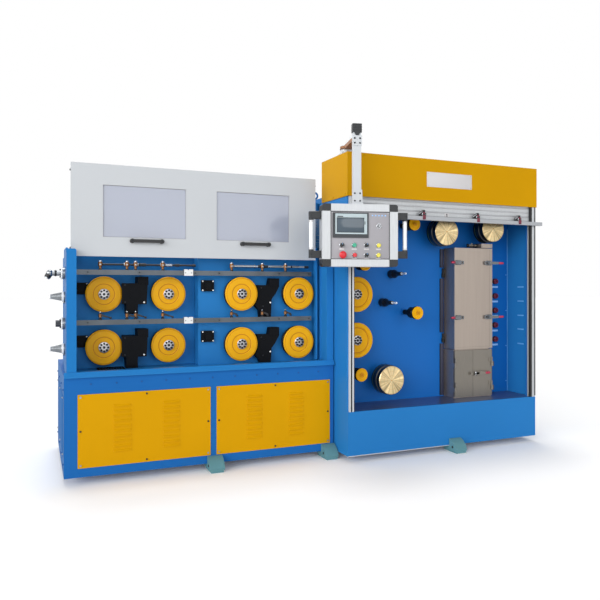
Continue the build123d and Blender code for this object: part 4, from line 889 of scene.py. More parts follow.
class WDM_OT_spray(bpy.types.Operator):
    """Caps, nuts, sleeves, plugs and hose tails of the spray pipes"""
    bl_idname = "wdm.spray"
    bl_label = "Spray fittings"

    PIPE_Y = 112
    PIPE_Z = 1305
    VALVE_Y = 104
    TAP_Y = 105
    TAP_Z = 965
    # Finish, radius, and the stretches of pipe that the sleeves cover.
    SLEEVES = (
        ("black plastic", 10, (446, 490), (1233, 1258), (1276, 1305)),
        ("black plastic", 9, (669, 702), (784, 806), (1470, 1482), (1572, 1604)),
        ("nickel", 8, (609, 655), (1066, 1200), (1310, 1410), (1484, 1530)),
        ("nickel", 11, (352, 362), (434, 442), (576, 584), (1204, 1214), (1412, 1420)),
    )
    VALVES_X = (213, 372, 424, 593, 1046, 1261, 1429)
    # The taps left of this have long handles.
    LONG_HANDLES_X = 700
    RAIL_SCREWS_X = (140, 447, 800, 960, 1380, 1600)
    RAIL_SCREWS_Z = (1256.5, 949.5)
    RAIL_FRONT_Y = 96
    JOINT_SCREWS_X = (736, 774)
    JOINT_SCREWS_Z = (1258, 951)
    JOINT_FRONT_Y = 92

    def execute(self, context):
        for number, (finish, radius, *runs) in enumerate(self.SLEEVES, 1):
            sleeve = Shape()
            for x0, x1 in runs:
                sleeve.rod((x0, self.PIPE_Y, self.PIPE_Z), (x1, self.PIPE_Y, self.PIPE_Z), radius)
            slot = "bright_steel" if finish == "nickel" else "black_plastic"
            sleeve.piece(f"spray_pipe_sleeves_{number}", finish, slot=slot)
        self.valves()
        self.taps()
        places = [(x, self.RAIL_FRONT_Y, z) for x in self.RAIL_SCREWS_X for z in self.RAIL_SCREWS_Z]
        screws("rail_screws", places, 4.5, "dark steel")
        places = [(x, self.JOINT_FRONT_Y, z) for x in self.JOINT_SCREWS_X for z in self.JOINT_SCREWS_Z]
        screws("joint_block_screws", places, 4.5, "zinc")
        return {"FINISHED"}

    def valves(self):
        """Copper-coloured valve bodies on the upper pipe, with bright caps and plugs."""
        caps = Shape()
        bodies = Shape()
        plugs = Shape()
        y = self.VALVE_Y
        z = self.PIPE_Z
        for x in self.VALVES_X:
            caps.turned([(10, 0), (10, 5), (8, 7), (0, 7)], (x, y, z + 16), UP, 20)
            bodies.turned([(13.5, 0), (13.5, 24), (10, 26), (0, 26)], (x, y, z - 11), UP, 20)
            bodies.turned([(8, 0), (8, 20), (0, 20)], (x, y, z - 30), UP, 20)
            tap = (x, self.TAP_Y, self.TAP_Z + 16)
            bodies.turned([(11.6, 0), (11.6, 18), (8.5, 21), (0, 21)], tap, UP, 20)
            plugs.turned([(6, 0), (6, 3), (4, 4), (0, 4)], (x, y - 12, z - 1), FRONT, 6)
        caps.piece("spray_valve_caps", "nickel", slot="brass")
        bodies.piece("spray_valve_bodies", "copper", slot="brass")
        plugs.piece("spray_valve_plugs", "nickel", slot="bright_steel")

    def taps(self):
        """Flat levers, drooping handles and round tops of the taps on the lower rail."""
        levers = Shape()
        handles = Shape()
        tops = Shape()
        z = self.TAP_Z
        for x in self.VALVES_X:
            levers.prism([(x + 5, 93.5, z + 24), (x + 37, 93.5, z + 13), (x + 40, 93.5, z + 23),
                          (x + 8, 93.5, z + 35)], (0, 11.5, 0))
            reach = 58 if x < self.LONG_HANDLES_X else 34
            handles.rod((x + 8, 97, z + 32), (x + reach, 97, z + 12), 3.6, 10)
            tip = (x + reach - 4, 97, z + 13)
            handles.turned([(4, 0), (7, 4), (7, 10), (4, 14)], tip, (1, 0, -0.35), 12)
            tops.turned([(8, 0), (8, 3), (5.5, 5), (0, 5)], (x, self.TAP_Y, z + 45), UP, 16)
        levers.piece("spray_tap_levers", "black plastic", slot="black_plastic")
        handles.piece("spray_tap_handles", "black plastic", slot="black_plastic")
        tops.piece("spray_tap_tops", "nickel", slot="bright_steel")


class WDM_OT_die_screws(bpy.types.Operator):
    """White-headed screws of the sensor boxes and die holders"""
    bl_idname = "wdm.die_screws"
    bl_label = "Die holder and sensor screws"

    # Middle, rise above the row and front face of the two boxes in a row.
    SENSOR_BOXES = ((112, 36, 268), (897, 54, 148))
    # Axis and front face of a holder, its white-headed screw and its two dark bolts as (dx, dz).
    HOLDERS = ((365, 172, (122, -52), (4, 58), (4, -50)), (1223, 118, (100, -60), (48, -84), (36, 40)))

    def execute(self, context):
        places = []
        for x, rise, face in self.SENSOR_BOXES:
            for row in ROWS_Z:
                places += [(x + dx, face, row + rise + dz) for dx in (-35, 35) for dz in (-30, 30)]
        screws("sensor_box_screws", places, 4.5, "white plastic")
        white = []
        dark = []
        for x, face, screw, *bolts in self.HOLDERS:
            for row in ROWS_Z:
                white.append((x + screw[0], face, row + screw[1]))
                dark += [(x + dx, face, row + dz) for dx, dz in bolts]
        screws("die_holder_screws", white, 5.5, "white plastic")
        screws("die_holder_bolts", dark, 5, "dark steel")
        return {"FINISHED"}


class WDM_OT_inlets(bpy.types.Operator):
    """Bands, nuts and screws of the wire inlets on the left end"""
    bl_idname = "wdm.inlets"
    bl_label = "Wire inlets"

    INLET_Y = 180
    BENT_Z = 1250
    STUB_Z = 944
    CONES_Z = (1108, 791)

    def execute(self, context):
        y = self.INLET_Y
        dark = Shape().turned([(17.5, 0), (19, 3), (19, 9), (17.5, 12)], (-34, y, self.BENT_Z), LEFT)
        dark.rod((-72, y, self.BENT_Z), (-88, y, self.BENT_Z - 28), 19)
        dark.rod((-11, y, self.STUB_Z), (-14, y, self.STUB_Z), 27)
        dark.piece("inlet_dark_bands", "black plastic", slot="black_plastic")
        bright = Shape()
        for z in self.CONES_Z:
            bright.turned([(31.5, 0), (31.5, 9), (30, 11)], (6, y, z), LEFT)
            bright.turned([(15, 0), (16, 4), (14, 8), (10, 8), (10, 0)], (-68, y, z), LEFT, ring=True)
        for z in (self.BENT_Z, self.STUB_Z):
            bright.turned([(38, 2), (38, 7), (36, 9), (30, 9), (30, 2)], (0, y, z), LEFT, ring=True)
        bright.piece("inlet_white_rings", "white plastic", slot="white_paint")
        places = [(-11, y + dy, z + dz) for z in (self.BENT_Z, self.STUB_Z) for dy in (-25, 25)
                  for dz in (-22, 22)]
        screws("inlet_flange_screws", places, 4.5, "dark steel", direction=LEFT)
        return {"FINISHED"}


class WDM_OT_cover_trim(bpy.types.Operator):
    """Window seals, handle screws, stiffeners and side bolts of the chamber cover"""
    bl_idname = "wdm.cover_trim"
    bl_label = "Cover trim"

    BODY = "chamber_cover"
    # How far a window sheet reaches past its opening, and the gap between the two sheets.
    LAP = 10
    SHEET_GAP = 180
    # The stiffeners stand behind the cover's sheet, and the bolts go into its turned-back sides.
    RIBS_Y = 66
    BOLTS_Y = 75
    BOLTS_Z = (1867, 1400)

    def execute(self, context):
        x0, x1, y0, y1, z0, z1 = box_mm("cover_windows")
        width = (x1 - x0 - self.SHEET_GAP) / 2 - 2 * self.LAP
        seals = Shape()
        for left in (x0 + self.LAP, x1 - self.LAP - width):
            right = left + width
            seals.frame(left, right, z0 + self.LAP, z1 - self.LAP, y0 - 2.8, y0 - 0.1, 2.5)
            seals.frame(left - 14, right + 14, z0 - 4, z1 + 4, y1, y1 + 3, 8)
        seals.piece("window_seals", "panel grey", self.BODY, "white_paint")
        x0, x1, y0, y1, z0, z1 = box_mm("cover_handles")
        places = [(x, y0, (z0 + z1) / 2) for x in (x0 + 14, x0 + 194, x1 - 194, x1 - 14)]
        screws("handle_screws", places, 6, "dark steel", self.BODY, height_mm=1.0)
        x0, x1, y0, y1, z0, z1 = box_mm("cover_panel")
        ribs = Shape()
        y = self.RIBS_Y
        for z in (z0 + 40, z1 - 60):
            ribs.block(x0 + 4, x1 - 4, y, y + 2, z, z + 24)
            ribs.block(x0 + 4, x1 - 4, y, y + 16, z, z + 2)
            ribs.block(x0 + 4, x1 - 4, y, y + 16, z + 22, z + 24)
        ribs.piece("cover_stiffeners", "white coat", self.BODY, "white_paint")
        for name, x, way in (("cover_side_bolts", x0, LEFT), ("cover_right_bolts", x1, RIGHT)):
            places = [(x, self.BOLTS_Y, z) for z in self.BOLTS_Z]
            screws(name, places, 7, "dark steel", self.BODY, direction=way, height_mm=3, sides=6)
        return {"FINISHED"}


class WDM_OT_cabinet_trim(bpy.types.Operator):
    """Seals, a painted highlight in the inner corner, bare plates and labels of the cabinet"""
    bl_idname = "wdm.cabinet_trim"
    bl_label = "Cabinet trim"

    # Strips beside the posts end under the shutter's bar.
    BAR_Z = 1628
    SIDE_WALL_X = 3333
    CORNER_RIVETS_Z = (420, 700, 980, 1264)
    KNOB_X = 3205
    KNOBS_Z = (1212, 1097, 983, 867, 756)
    SIDE_LABELS_Z = (1168, 1058, 947, 840, 727)
    NAME_PLATE = (2364, 2747, 1867, 1971)

    def execute(self, context):
        self.post_strips()
        # Painted highlight: a pale blue rod with rivets where the back wall meets the right side wall.
        highlight_rod = Shape().rod((self.SIDE_WALL_X - 3, WALL_Y - 3, SILL_Z + 2),
                           (self.SIDE_WALL_X - 3, WALL_Y - 3, self.BAR_Z), 2.2, 8)
        highlight_rod.piece("corner_painted_highlight", "pale blue plate and highlight", slot="blue_paint")
        rivets = [(self.SIDE_WALL_X - 15, WALL_Y, z) for z in self.CORNER_RIVETS_Z]
        screws("corner_rivets", rivets, 4, "pale blue plate and highlight")
        self.labels()
        knob_front = box_mm("red_knobs")[2]
        for number, z in enumerate(self.KNOBS_Z, 1):
            seat = Shape()
            seat.turned([(23, 0), (23, 2), (20, 3), (15, 3), (15, 0)], (self.KNOB_X, WALL_Y, z), ring=True)
            seat.turned([(6, 0), (6, 1.2), (4, 2), (0, 2)], (self.KNOB_X, knob_front, z))
            seat.piece(f"knob_seat_{number}", "dark steel", slot="bright_steel")
        x0, x1, z0, z1 = self.NAME_PLATE
        plate = Shape().block(x0, x1, HOOD_Y - 1.6, HOOD_Y, z0, z1, 0.5)
        plate.piece("name_plate", "bare plate", slot="white_paint")
        screws("name_plate_screws", corners(x0, x1, z0, z1, HOOD_Y - 1.6, 10), 3, "zinc", height_mm=1)
        return {"FINISHED"}

    def post_strips(self):
        """Black seals beside both posts, a black strip in the left post's groove as painted shade, and the
        pale strips at the right post's outer edge.
        """
        front = POST_Y
        seals = Shape().block(1796, 1800, front, front + 40, SILL_Z, self.BAR_Z, 1)
        seals.block(3288, 3309, front - 2, front + 1, SILL_Z, SHUTTER_TOP_Z, 0.8)
        # Painted shade: a black strip at the back of the left post's groove.
        seals.block(1774, 1784, front + 3, front + 7, SILL_Z, self.BAR_Z, 1)
        seals.block(3331, 3343, front - 2, front + 38, SILL_Z + 7, SHUTTER_TOP_Z, 0.8)
        seals.piece("post_seals_and_groove_shade", "rubber", slot="black_plastic")
        strip = Shape().block(3309, 3331, front - 3, front + 2, SILL_Z, SHUTTER_TOP_Z, 1)
        strip.block(3343, 3347, front + 2, front + 40, SILL_Z + 7, SHUTTER_TOP_Z, 1)
        strip.piece("right_post_strip", "aluminium", slot="aluminium")

    def labels(self):
        """Bare label plates under the knobs and on the right side wall."""
        below = Shape()
        for z in self.KNOBS_Z:
            below.block(self.KNOB_X - 27, self.KNOB_X + 33, WALL_Y - 1.2, WALL_Y, z - 51, z - 37, 0.4)
        below.piece("knob_labels", "blue plate", slot="white_paint")
        side = Shape()
        for z in self.SIDE_LABELS_Z:
            side.block(self.SIDE_WALL_X - 1.2, self.SIDE_WALL_X, -93, -26, z - 5, z + 5, 0.4)
        side.piece("side_labels", "pale blue plate and highlight", slot="white_paint")


class WDM_OT_shutter(bpy.types.Operator):
    """Latches, slat lines and label of the roller shutter"""
    bl_idname = "wdm.shutter"
    bl_label = "Shutter fittings"

    LATCHES_X = (2325, 2786, 3166)
    SLAT = 34
    LABEL_X = 2543
    LABEL_Z = 1677

    def execute(self, context):
        levers = Shape()
        grips = Shape()
        hooks = Shape()
        for x in self.LATCHES_X:
            levers.block(x - 6, x + 20, -222, -204, 1682, 1702, 2)
            levers.block(x - 2, x + 14, -229, -222, 1686, 1698, 2)
            grips.block(x - 9, x + 13, -241, -232, 1634, 1664, 2)
            grips.block(x - 6, x + 10, -235, -229.5, 1672, 1686, 1)
            hooks.turned([(14, 0), (14, 2), (11.5, 3), (11.5, 0)], (x, -231, 1669), ring=True)
            hooks.rod((x - 34, -226, 1672), (x - 8, -226, 1690), 3.5, 10)
            hooks.rod((x - 34, -226, 1672), (x - 34, -212, 1672), 3.5, 10)
            hooks.rod((x - 24, -222, 1692), (x - 4, -222, 1698), 2.8, 10)
        levers.piece("latch_levers", "black plastic", slot="black_plastic")
        grips.piece("latch_grips", "dark red plastic", slot="red_plastic")
        hooks.piece("latch_hooks", "chrome", slot="bright_steel")
        x0, x1, y0, y1, z0, z1 = box_mm("roller_shutter")
        gaps = Shape()
        for n in range(4):
            z = z0 + self.SLAT * n
            gaps.block(x0 + 19, x1 - 19, y0 + 2.4, y0 + 4.4, z - 0.8, z + 1.6)
        gaps.piece("slat_gaps", "panel grey", slot="aluminium")
        x = self.LABEL_X
        z = self.LABEL_Z
        label = Shape().block(x - 19, x + 19, y0 - 1.5, y0 + 0.2, z - 13, z + 13, 0.4)
        label.piece("shutter_label", "bare plate", slot="white_paint")
        marks = Shape().block(x - 7, x + 7, y0 - 2.2, y0 - 1, z - 9, z - 3, 0.2)
        marks.block(x - 5, x + 5, y0 - 2.2, y0 - 1, z, z + 9, 0.2)
        marks.piece("shutter_label_mark", "dark grey plastic", slot="black_plastic")
        return {"FINISHED"}


class WDM_OT_annealer_trim(bpy.types.Operator):
    """Grips, hinge caps, door seams and the pipe fitting of the annealer column"""
    bl_idname = "wdm.annealer_trim"
    bl_label = "Annealer fittings"

    CLAMPS_Z = (1350, 940)
    LEFT_GRIP_X = 2704
    RIGHT_GRIP_X = 3115
    HINGES_Z = (1274, 780)
    HINGE_Y = 80
    # The wall flange runs between the lid's hinges.
    FLANGE_RUNS = ((345, 738), (822, 1232), (1316, 1456))
    PIPE_Y = 10
    PIPE_Z = 1484

    def execute(self, context):
        self.clamps()
        self.leaf_clasp()
        self.hinges_and_seams()
        self.tower_top()
        return {"FINISHED"}

    def clamps(self):
        """Dipped grips and rivets of the lid's four clamps."""
        grips = Shape()
        depth = LID_Y - 21
        for z in self.CLAMPS_Z:
            left = (self.LEFT_GRIP_X, depth, z)
            right = (self.RIGHT_GRIP_X, depth, z)
            grips.turned([(5, 0), (8, 3), (8.5, 16), (7.5, 24), (4, 27)], left, LEFT, 16)
            grips.turned([(5, 0), (9, 6), (8.5, 28), (7.5, 40), (4, 44)], right, RIGHT, 16)
        grips.piece("clamp_grips", "pink grip", "lid", "red_plastic")
        rivets = [(x, LID_Y - 16, z) for x in (2731, 3036) for z in self.CLAMPS_Z]
        screws("clamp_rivets", rivets, 6, "zinc", "lid", height_mm=2)

    def leaf_clasp(self):
        """Clasp, grip and screws that hold the lower leaves shut."""
        grip = Shape()
        grip.turned([(6, 0), (11, 6), (10.5, 40), (9, 48), (5, 52)], (2990, LID_Y - 12, 518), RIGHT, 16)
        grip.piece("leaf_grip", "pink grip", "right_leaf", "red_plastic")
        clasp = Shape().block(2899, 2938, LID_Y - 20, LID_Y - 6, 507, 529, 3)
        clasp.rod((2936, LID_Y - 14, 524), (2968, LID_Y - 14, 510), 5, 10)
        clasp.rod((2936, LID_Y - 14, 511), (2992, LID_Y - 13, 519), 6, 10)
        clasp.piece("leaf_clasp", "chrome", "right_leaf", "bright_steel")
        screws("leaf_clamp_screws", [(2906, LID_Y - 5, z) for z in (530, 506)], 4, "zinc", "right_leaf")

    def hinges_and_seams(self):
        """Black caps over the lid's hinges, and the fold lines of its sheet."""
        hinge_x = box_mm("annealer_lid")[0] + 9
        caps = Shape()
        upper = Shape()
        for z in self.HINGES_Z:
            caps.turned([(10, 0), (10, 30), (8, 33), (0, 33)], (hinge_x, self.HINGE_Y, z - 36), UP, 20)
            upper.turned([(10, 3), (10, 34), (8, 36), (0, 36)], (hinge_x, self.HINGE_Y, z), UP, 20)
        caps.piece("lid_hinge_lower_caps", "rubber", slot="black_plastic")
        upper.piece("lid_hinge_upper_caps", "rubber", "lid", "black_plastic")
        folds = Shape().block(3046, 3047.2, LID_Y - 0.5, LID_Y + 1, 712, 1452)
        folds.block(2705, 3067, LID_Y - 0.5, LID_Y + 1, 716, 717)
        folds.piece("lid_fold_lines", "dull stainless", "lid", "stainless")

    def tower_top(self):
        """Pipe fitting and screws on top of the column, and its flange and a black strip along its edge on
        the wall.
        """
        y = self.PIPE_Y
        z = self.PIPE_Z
        fitting = Shape().rod((2968, y, z), (2882, y, z), 10)
        fitting.rod((2920, y, z), (2920, y, z + 18), 6)
        fitting.piece("tower_pipe_fitting", "dull stainless", slot="stainless")
        nuts = Shape()
        for x, radius in ((2880, 13), (2930, 12), (2958, 14)):
            nuts.turned([(radius, 0), (radius, 8), (10.2, 8), (10.2, 0)], (x, y, z), RIGHT, 6, ring=True)
        nuts.piece("tower_pipe_nuts", "black plastic", slot="black_plastic")
        flange = Shape()
        dark_edge = Shape()
        for low, high in self.FLANGE_RUNS:
            flange.block(2690, 2719, WALL_Y - 5, WALL_Y, low, high, 1)
            dark_edge.block(2684, 2690, WALL_Y - 7, WALL_Y, low, high, 1)
        flange.piece("column_wall_flange", "shaded stainless", slot="stainless")
        dark_edge.piece("column_edge_dark_strip", "rubber", slot="black_plastic")
        screws("tower_screws", [(x, LID_Y, z) for x in (2978, 3061) for z in (1474, 1488)], 3.5, "zinc")


class WDM_OT_pendant_panel(bpy.types.Operator):
    """Grey panel sheet, screen, buttons and switches of the pendant"""
    bl_idname = "wdm.pendant_panel"
    bl_label = "Pendant panel"

    BODY = "swing_arm"
    FACE = -42
    BEZEL = -56
    SHEET = (-175.5, 201.5, 1344.5, 1640.5)
    SCREEN = (-139, 35, 1511, 1600)
    # Middles of the controls on the panel's face.
    SWITCHES = ((-106, 1430), (53, 1430), (53, 1368))
    CAPS = (("green plastic", -26, 1430), ("yellow plastic", 132, 1430), ("red plastic", -24, 1368),
            ("yellow plastic", 130, 1368))
    STOP = (-103, 1368)
    LOCK = (135, 1553)

    def execute(self, context):
        x0, x1, z0, z1 = self.SHEET
        sheet = Shape(PENDANT).block(x0, x1, self.FACE - 1, self.FACE + 0.5, z0, z1, 0.4)
        sheet.piece("panel_sheet", "panel grey", self.BODY, "aluminium")
        screws("panel_sheet_screws", corners(x0, x1, z0, z1, self.FACE - 1, 7.5), 3.2, "zinc", self.BODY,
               height_mm=1.2, place=PENDANT)
        self.screen()
        self.rings()
        self.buttons()
        self.switches()
        self.lock()
        plates = Shape(PENDANT)
        for x, z in self.SWITCHES + tuple(cap[1:] for cap in self.CAPS):
            plates.block(x - 16, x + 16, self.FACE - 1.7, self.FACE - 0.9, z - 29, z - 20, 0.3)
        plates.piece("button_label_plates", "bare plate", self.BODY, "white_paint")
        return {"FINISHED"}

    def screen(self):
        """Pale bezel, switched-off glass and the bezel's dark marks."""
        x0, x1, z0, z1 = self.SCREEN
        front = self.BEZEL
        back = self.BEZEL + 1.2
        bezel = Shape(PENDANT).frame(x0 - 11, x1 + 19, z0 - 12, z1 + 27, front, back, 9)
        bezel.block(x0 - 2, x1 + 10, front, back, z1 + 3, z1 + 18, 0.2)
        bezel.block(x1 + 1, x1 + 10, front, back, z0 - 3, z1 + 3, 0.2)
        bezel.piece("screen_bezel", "bezel", self.BODY, "white_paint")
        glass = Shape(PENDANT).block(x0, x1, front + 3.5, front + 5.5, z0, z1, 0.5)
        glass.piece("screen_glass", "screen", self.BODY, "window_sheet")
        marks = Shape(PENDANT).block(x1 + 3, x1 + 8, front - 1, front + 0.2, 1560, 1580, 0.5)
        marks.block(x0 + 1, x0 + 39, front - 1, front + 0.2, 1606, 1612, 0.3)
        marks.piece("screen_marks", "dark grey plastic", self.BODY, "black_plastic")

    def rings(self):
        """Chromed rings round every control."""
        rings = Shape(PENDANT)
        for x, z in self.SWITCHES + tuple(cap[1:] for cap in self.CAPS) + (self.LOCK,):
            rings.turned([(16.5, 0), (16.5, 3), (14.5, 5), (11.5, 5), (11.5, 0)], (x, self.FACE, z),
                         ring=True)
        x, z = self.STOP
        rings.turned([(18, 0), (18, 3), (16.5, 4.5), (12, 4.5), (12, 0)], (x, self.FACE, z), ring=True)
        rings.piece("button_rings", "chrome", self.BODY, "bright_steel")

    def buttons(self):
        """Coloured button caps and the mushroom head of the stop."""
        for number, (finish, x, z) in enumerate(self.CAPS, 1):
            cap = Shape(PENDANT).turned([(13.5, 5), (13.5, 12), (12, 14.2), (0, 14.6)], (x, self.FACE, z))
            slot = "yellow_paint" if finish.startswith("yellow") else "red_plastic"
            cap.piece(f"button_cap_{number}", finish, self.BODY, slot)
        x, z = self.STOP
        stop = Shape(PENDANT)
        stop.turned([(12, 5), (12, 16), (20, 17), (23, 20), (23, 23), (17, 28), (8, 30), (0, 30.2)],
                    (x, self.FACE, z), steps=40)
        stop.piece("mushroom_head", "red plastic", self.BODY, "red_plastic")

    def switches(self):
        """Selector knobs with their marks, and the five small marks at the panel's top."""
        knobs = Shape(PENDANT)
        marks = Shape(PENDANT)
        for x, z in self.SWITCHES:
            knobs.turned([(13, 5), (13, 14), (11, 16), (0, 16)], (x, self.FACE, z))
            knobs.block(x - 4, x + 4, self.FACE - 24, self.FACE - 15, z - 12.5, z + 12.5, 1.5)
            marks.block(x - 1, x + 1, self.FACE - 24.6, self.FACE - 23.8, z + 3, z + 11.5, 0.2)
        for n in range(5):
            marks.block(88 + n * 21, 97 + n * 21, self.FACE - 1.8, self.FACE - 0.9, 1615, 1623, 0.3)
        knobs.piece("selector_knobs", "black plastic", self.BODY, "black_plastic")
        marks.piece("switch_marks", "blue plate", self.BODY, "white_paint")

    def lock(self):
        """Barrel of the key lock and its slot."""
        x, z = self.LOCK
        barrel = Shape(PENDANT).turned([(11, 5), (11, 12.5), (9.5, 13.5), (0, 13.5)], (x, self.FACE, z))
        barrel.piece("lock_barrel", "dark steel", self.BODY, "bright_steel")
        slot = Shape(PENDANT).block(x - 1.4, x + 1.4, self.FACE - 14.2, self.FACE - 13, z - 6, z + 6, 0.3)
        slot.turned([(6.5, 0), (6.5, 0.9), (4.8, 0.9), (4.8, 0)], (x, self.FACE - 13.2, z), ring=True)
        slot.piece("lock_slot", "chrome", self.BODY, "black_plastic")


class WDM_OT_pendant_frame(bpy.types.Operator):
    """Joint lines, plate screws and cap lines of the pendant's frame, post and arm"""
    bl_idname = "wdm.pendant_frame"
    bl_label = "Pendant frame"

    BODY = "swing_arm"
    GRIPS_X = (-294, 320)
    GRIP_LOW_Z = 1396
    GRIP_HIGH_Z = 1597
    REAR_Y = 53
    # The arm's hub lies behind the post, in the pendant's own frame.
    HUB_Y = 300
    CAP_RIBS_Z = range(2158, 2199, 10)

    def execute(self, context):
        self.post_screws()
        bead = Shape(PENDANT).frame(-179, 205, 1341, 1644, -49.2, -46, 3.4)
        bead.piece("frame_inner_bead", "dark grey plastic", self.BODY, "black_plastic")
        rear = Shape(PENDANT).block(-170, 196, self.REAR_Y - 1.8, self.REAR_Y, 1350, 1635, 0.6)
        rear.piece("pendant_rear_cover", "panel grey", self.BODY, "aluminium")
        places = [(x, self.REAR_Y, z) for x in (-160, 13, 186) for z in (1360, 1625)]
        screws("rear_cover_screws", places, 4, "zinc", self.BODY, direction=BACK, height_mm=1.6,
               place=PENDANT)
        self.grips()
        ribs = Shape(PENDANT)
        for z in self.CAP_RIBS_Z:
            ribs.frame(-30.8, 30.8, z - 1, z + 1, -21.8, 21.8, 1)
        ribs.piece("cap_ribs", "rubber", self.BODY, "black_plastic")
        ring = Shape(PENDANT)
        ring.turned([(43.5, 0), (43.5, 4), (42.2, 4), (42.2, 0)], (0, self.HUB_Y, 2106), UP, 40, ring=True)
        ring.piece("arm_hub_ring", "dark steel", self.BODY, "bright_steel")
        bolts = [(x, self.HUB_Y + y, 2129) for x, y in ((28, 0), (-28, 0), (0, 28), (0, -28))]
        screws("arm_hub_bolts", bolts, 5, "dark steel", self.BODY, direction=UP, place=PENDANT)
        return {"FINISHED"}

    def post_screws(self):
        """Screws of the post's two front plates and of its foot on the box."""
        places = [(x, -21, z) for z in (2082, 2112, 1714, 1762) for x in (-17, 17)]
        screws("post_plate_screws", places, 5.5, "dark steel", self.BODY, place=PENDANT)
        foot = [(x, y, 1700) for x in (-32, 32) for y in (-18, 18)]
        screws("post_foot_screws", foot, 4, "zinc", self.BODY, direction=UP, place=PENDANT)

    def grips(self):
        """Screws of the grip blocks, and the collars and knurls at the ends of the white tubes."""
        blocks = [(x - 2 if x < 0 else x + 2, -16, z) for x in self.GRIPS_X for z in (1373, 1620)]
        screws("grip_block_screws", blocks, 5, "dark steel", self.BODY, height_mm=1.5, place=PENDANT)
        collars = Shape(PENDANT)
        for x in self.GRIPS_X:
            for z, way in ((self.GRIP_LOW_Z, 1), (self.GRIP_HIGH_Z, -1)):
                collars.turned([(16, 0), (16, 5), (14, 8), (13.2, 8), (13.2, 0)], (x, 2, z), (0, 0, way), 24,
                               ring=True)
        collars.piece("grip_collars", "dark grey plastic", self.BODY, "black_plastic")
        for number, z in enumerate((self.GRIP_LOW_Z + 14, self.GRIP_HIGH_Z - 15), 1):
            for side, x in zip(("left", "right"), self.GRIPS_X):
                knurl(f"grip_knurl_{side}_{number}", (x, 2, z), 0, 13.2, 24, (1.2, 1.6, 14), "bare plate",
                      self.BODY, PENDANT)


class WDM_OT_feet(bpy.types.Operator):
    """Adjusting bolts of the levelling feet and washers of the lifting eyes"""
    bl_idname = "wdm.feet"
    bl_label = "Feet and eyes"

    # Middle, face that it stands out from, and outward sign along y of each foot.
    FEET = ((902, 0, -1), (902, 1000, 1), (1698, 0, -1), (1698, 1000, 1), (2604, -205, -1), (2604, 406, 1))
    FOOT_REACH = 78
    EYES_X = (1766, 3329)

    def execute(self, context):
        for number, (x, face, out) in enumerate(self.FEET, 1):
            tip = face + out * self.FOOT_REACH
            bolt = Shape().rod((x, tip - out * 4, 20), (x, tip - out * 0.2, 20), 3.2, 10)
            bolt.rod((x - 30, tip - out * 4, 20), (x - 30, tip - out * 0.2, 20), 2.2, 10)
            bolt.turned([(9, 0), (9, 4), (7, 5), (0, 5)], (x - 46, face + out * 40, 40), LEFT, 6)
            bolt.piece(f"foot_bolt_{number}", "dark steel", slot="bright_steel")
        roof_z = box_mm("cabinet_roof")[5]
        for number, x in enumerate(self.EYES_X, 1):
            washer = Shape()
            washer.turned([(18, 0), (18, 3), (15, 4), (12.2, 4), (12.2, 0)], (x, 366, roof_z), UP, ring=True)
            washer.piece(f"eye_washer_{number}", "zinc", slot="bright_steel")
        return {"FINISHED"}


class WDM_OT_housing_covers(bpy.types.Operator):
    """Bearing covers behind the capstans and the bolted lid of the gear housing"""
    bl_idname = "wdm.housing_covers"
    bl_label = "Gear housing covers"

    LID_FRONT_Y = 330
    # Distance of the two inspection hatches from the housing's ends, and their front and rear edges.
    HATCH = 420
    HATCH_Y = (420, 640)
    SPLIT_Z = (950, 962)

    def execute(self, context):
        x0, x1, y0, rear, z0, top = box_mm("gear_housing")
        for n in range(1, 9):
            x, y, z = centre_mm(f"capstan_{n}")
            cover = Shape()
            cover.turned([(62, 0), (62, 9), (59, 12), (30, 12), (26, 17), (0, 17)], (x, rear, z), BACK)
            cover.piece(f"bearing_cover_{n}", "blue enamel")
            bolt_ring(f"bearing_cover_bolts_{n}", x, rear + 12, z, 47, 6, 6, "dark steel", height_mm=8)
        hatches_x = (x0 + self.HATCH, x1 - self.HATCH)
        hatch_y0, hatch_y1 = self.HATCH_Y
        lid = Shape().block(x0 + 30, x1 - 30, self.LID_FRONT_Y, rear - 24, top, top + 6, 2)
        for x in hatches_x:
            lid.block(x - 150, x + 150, hatch_y0, hatch_y1, top + 6, top + 10, 2)
        lid.piece("gear_housing_lid", "blue enamel")
        places = [(x0 + 50 + n * 160, y, top + 6) for n in range(11)
                  for y in (self.LID_FRONT_Y + 16, rear - 40)]
        screws("housing_lid_bolts", places, 7, "dark steel", direction=UP, height_mm=4, sides=6)
        places = [(x + dx, y, top + 10) for x in hatches_x for dx in (-132, 132)
                  for y in (hatch_y0 + 18, hatch_y1 - 18)]
        screws("hatch_bolts", places, 6, "zinc", direction=UP, height_mm=3, sides=6)
        flange = Shape().block(x0 + 2, x1 - 2, rear, rear + 5, *self.SPLIT_Z, 1)
        flange.piece("housing_split_flange", "blue enamel")
        return {"FINISHED"}


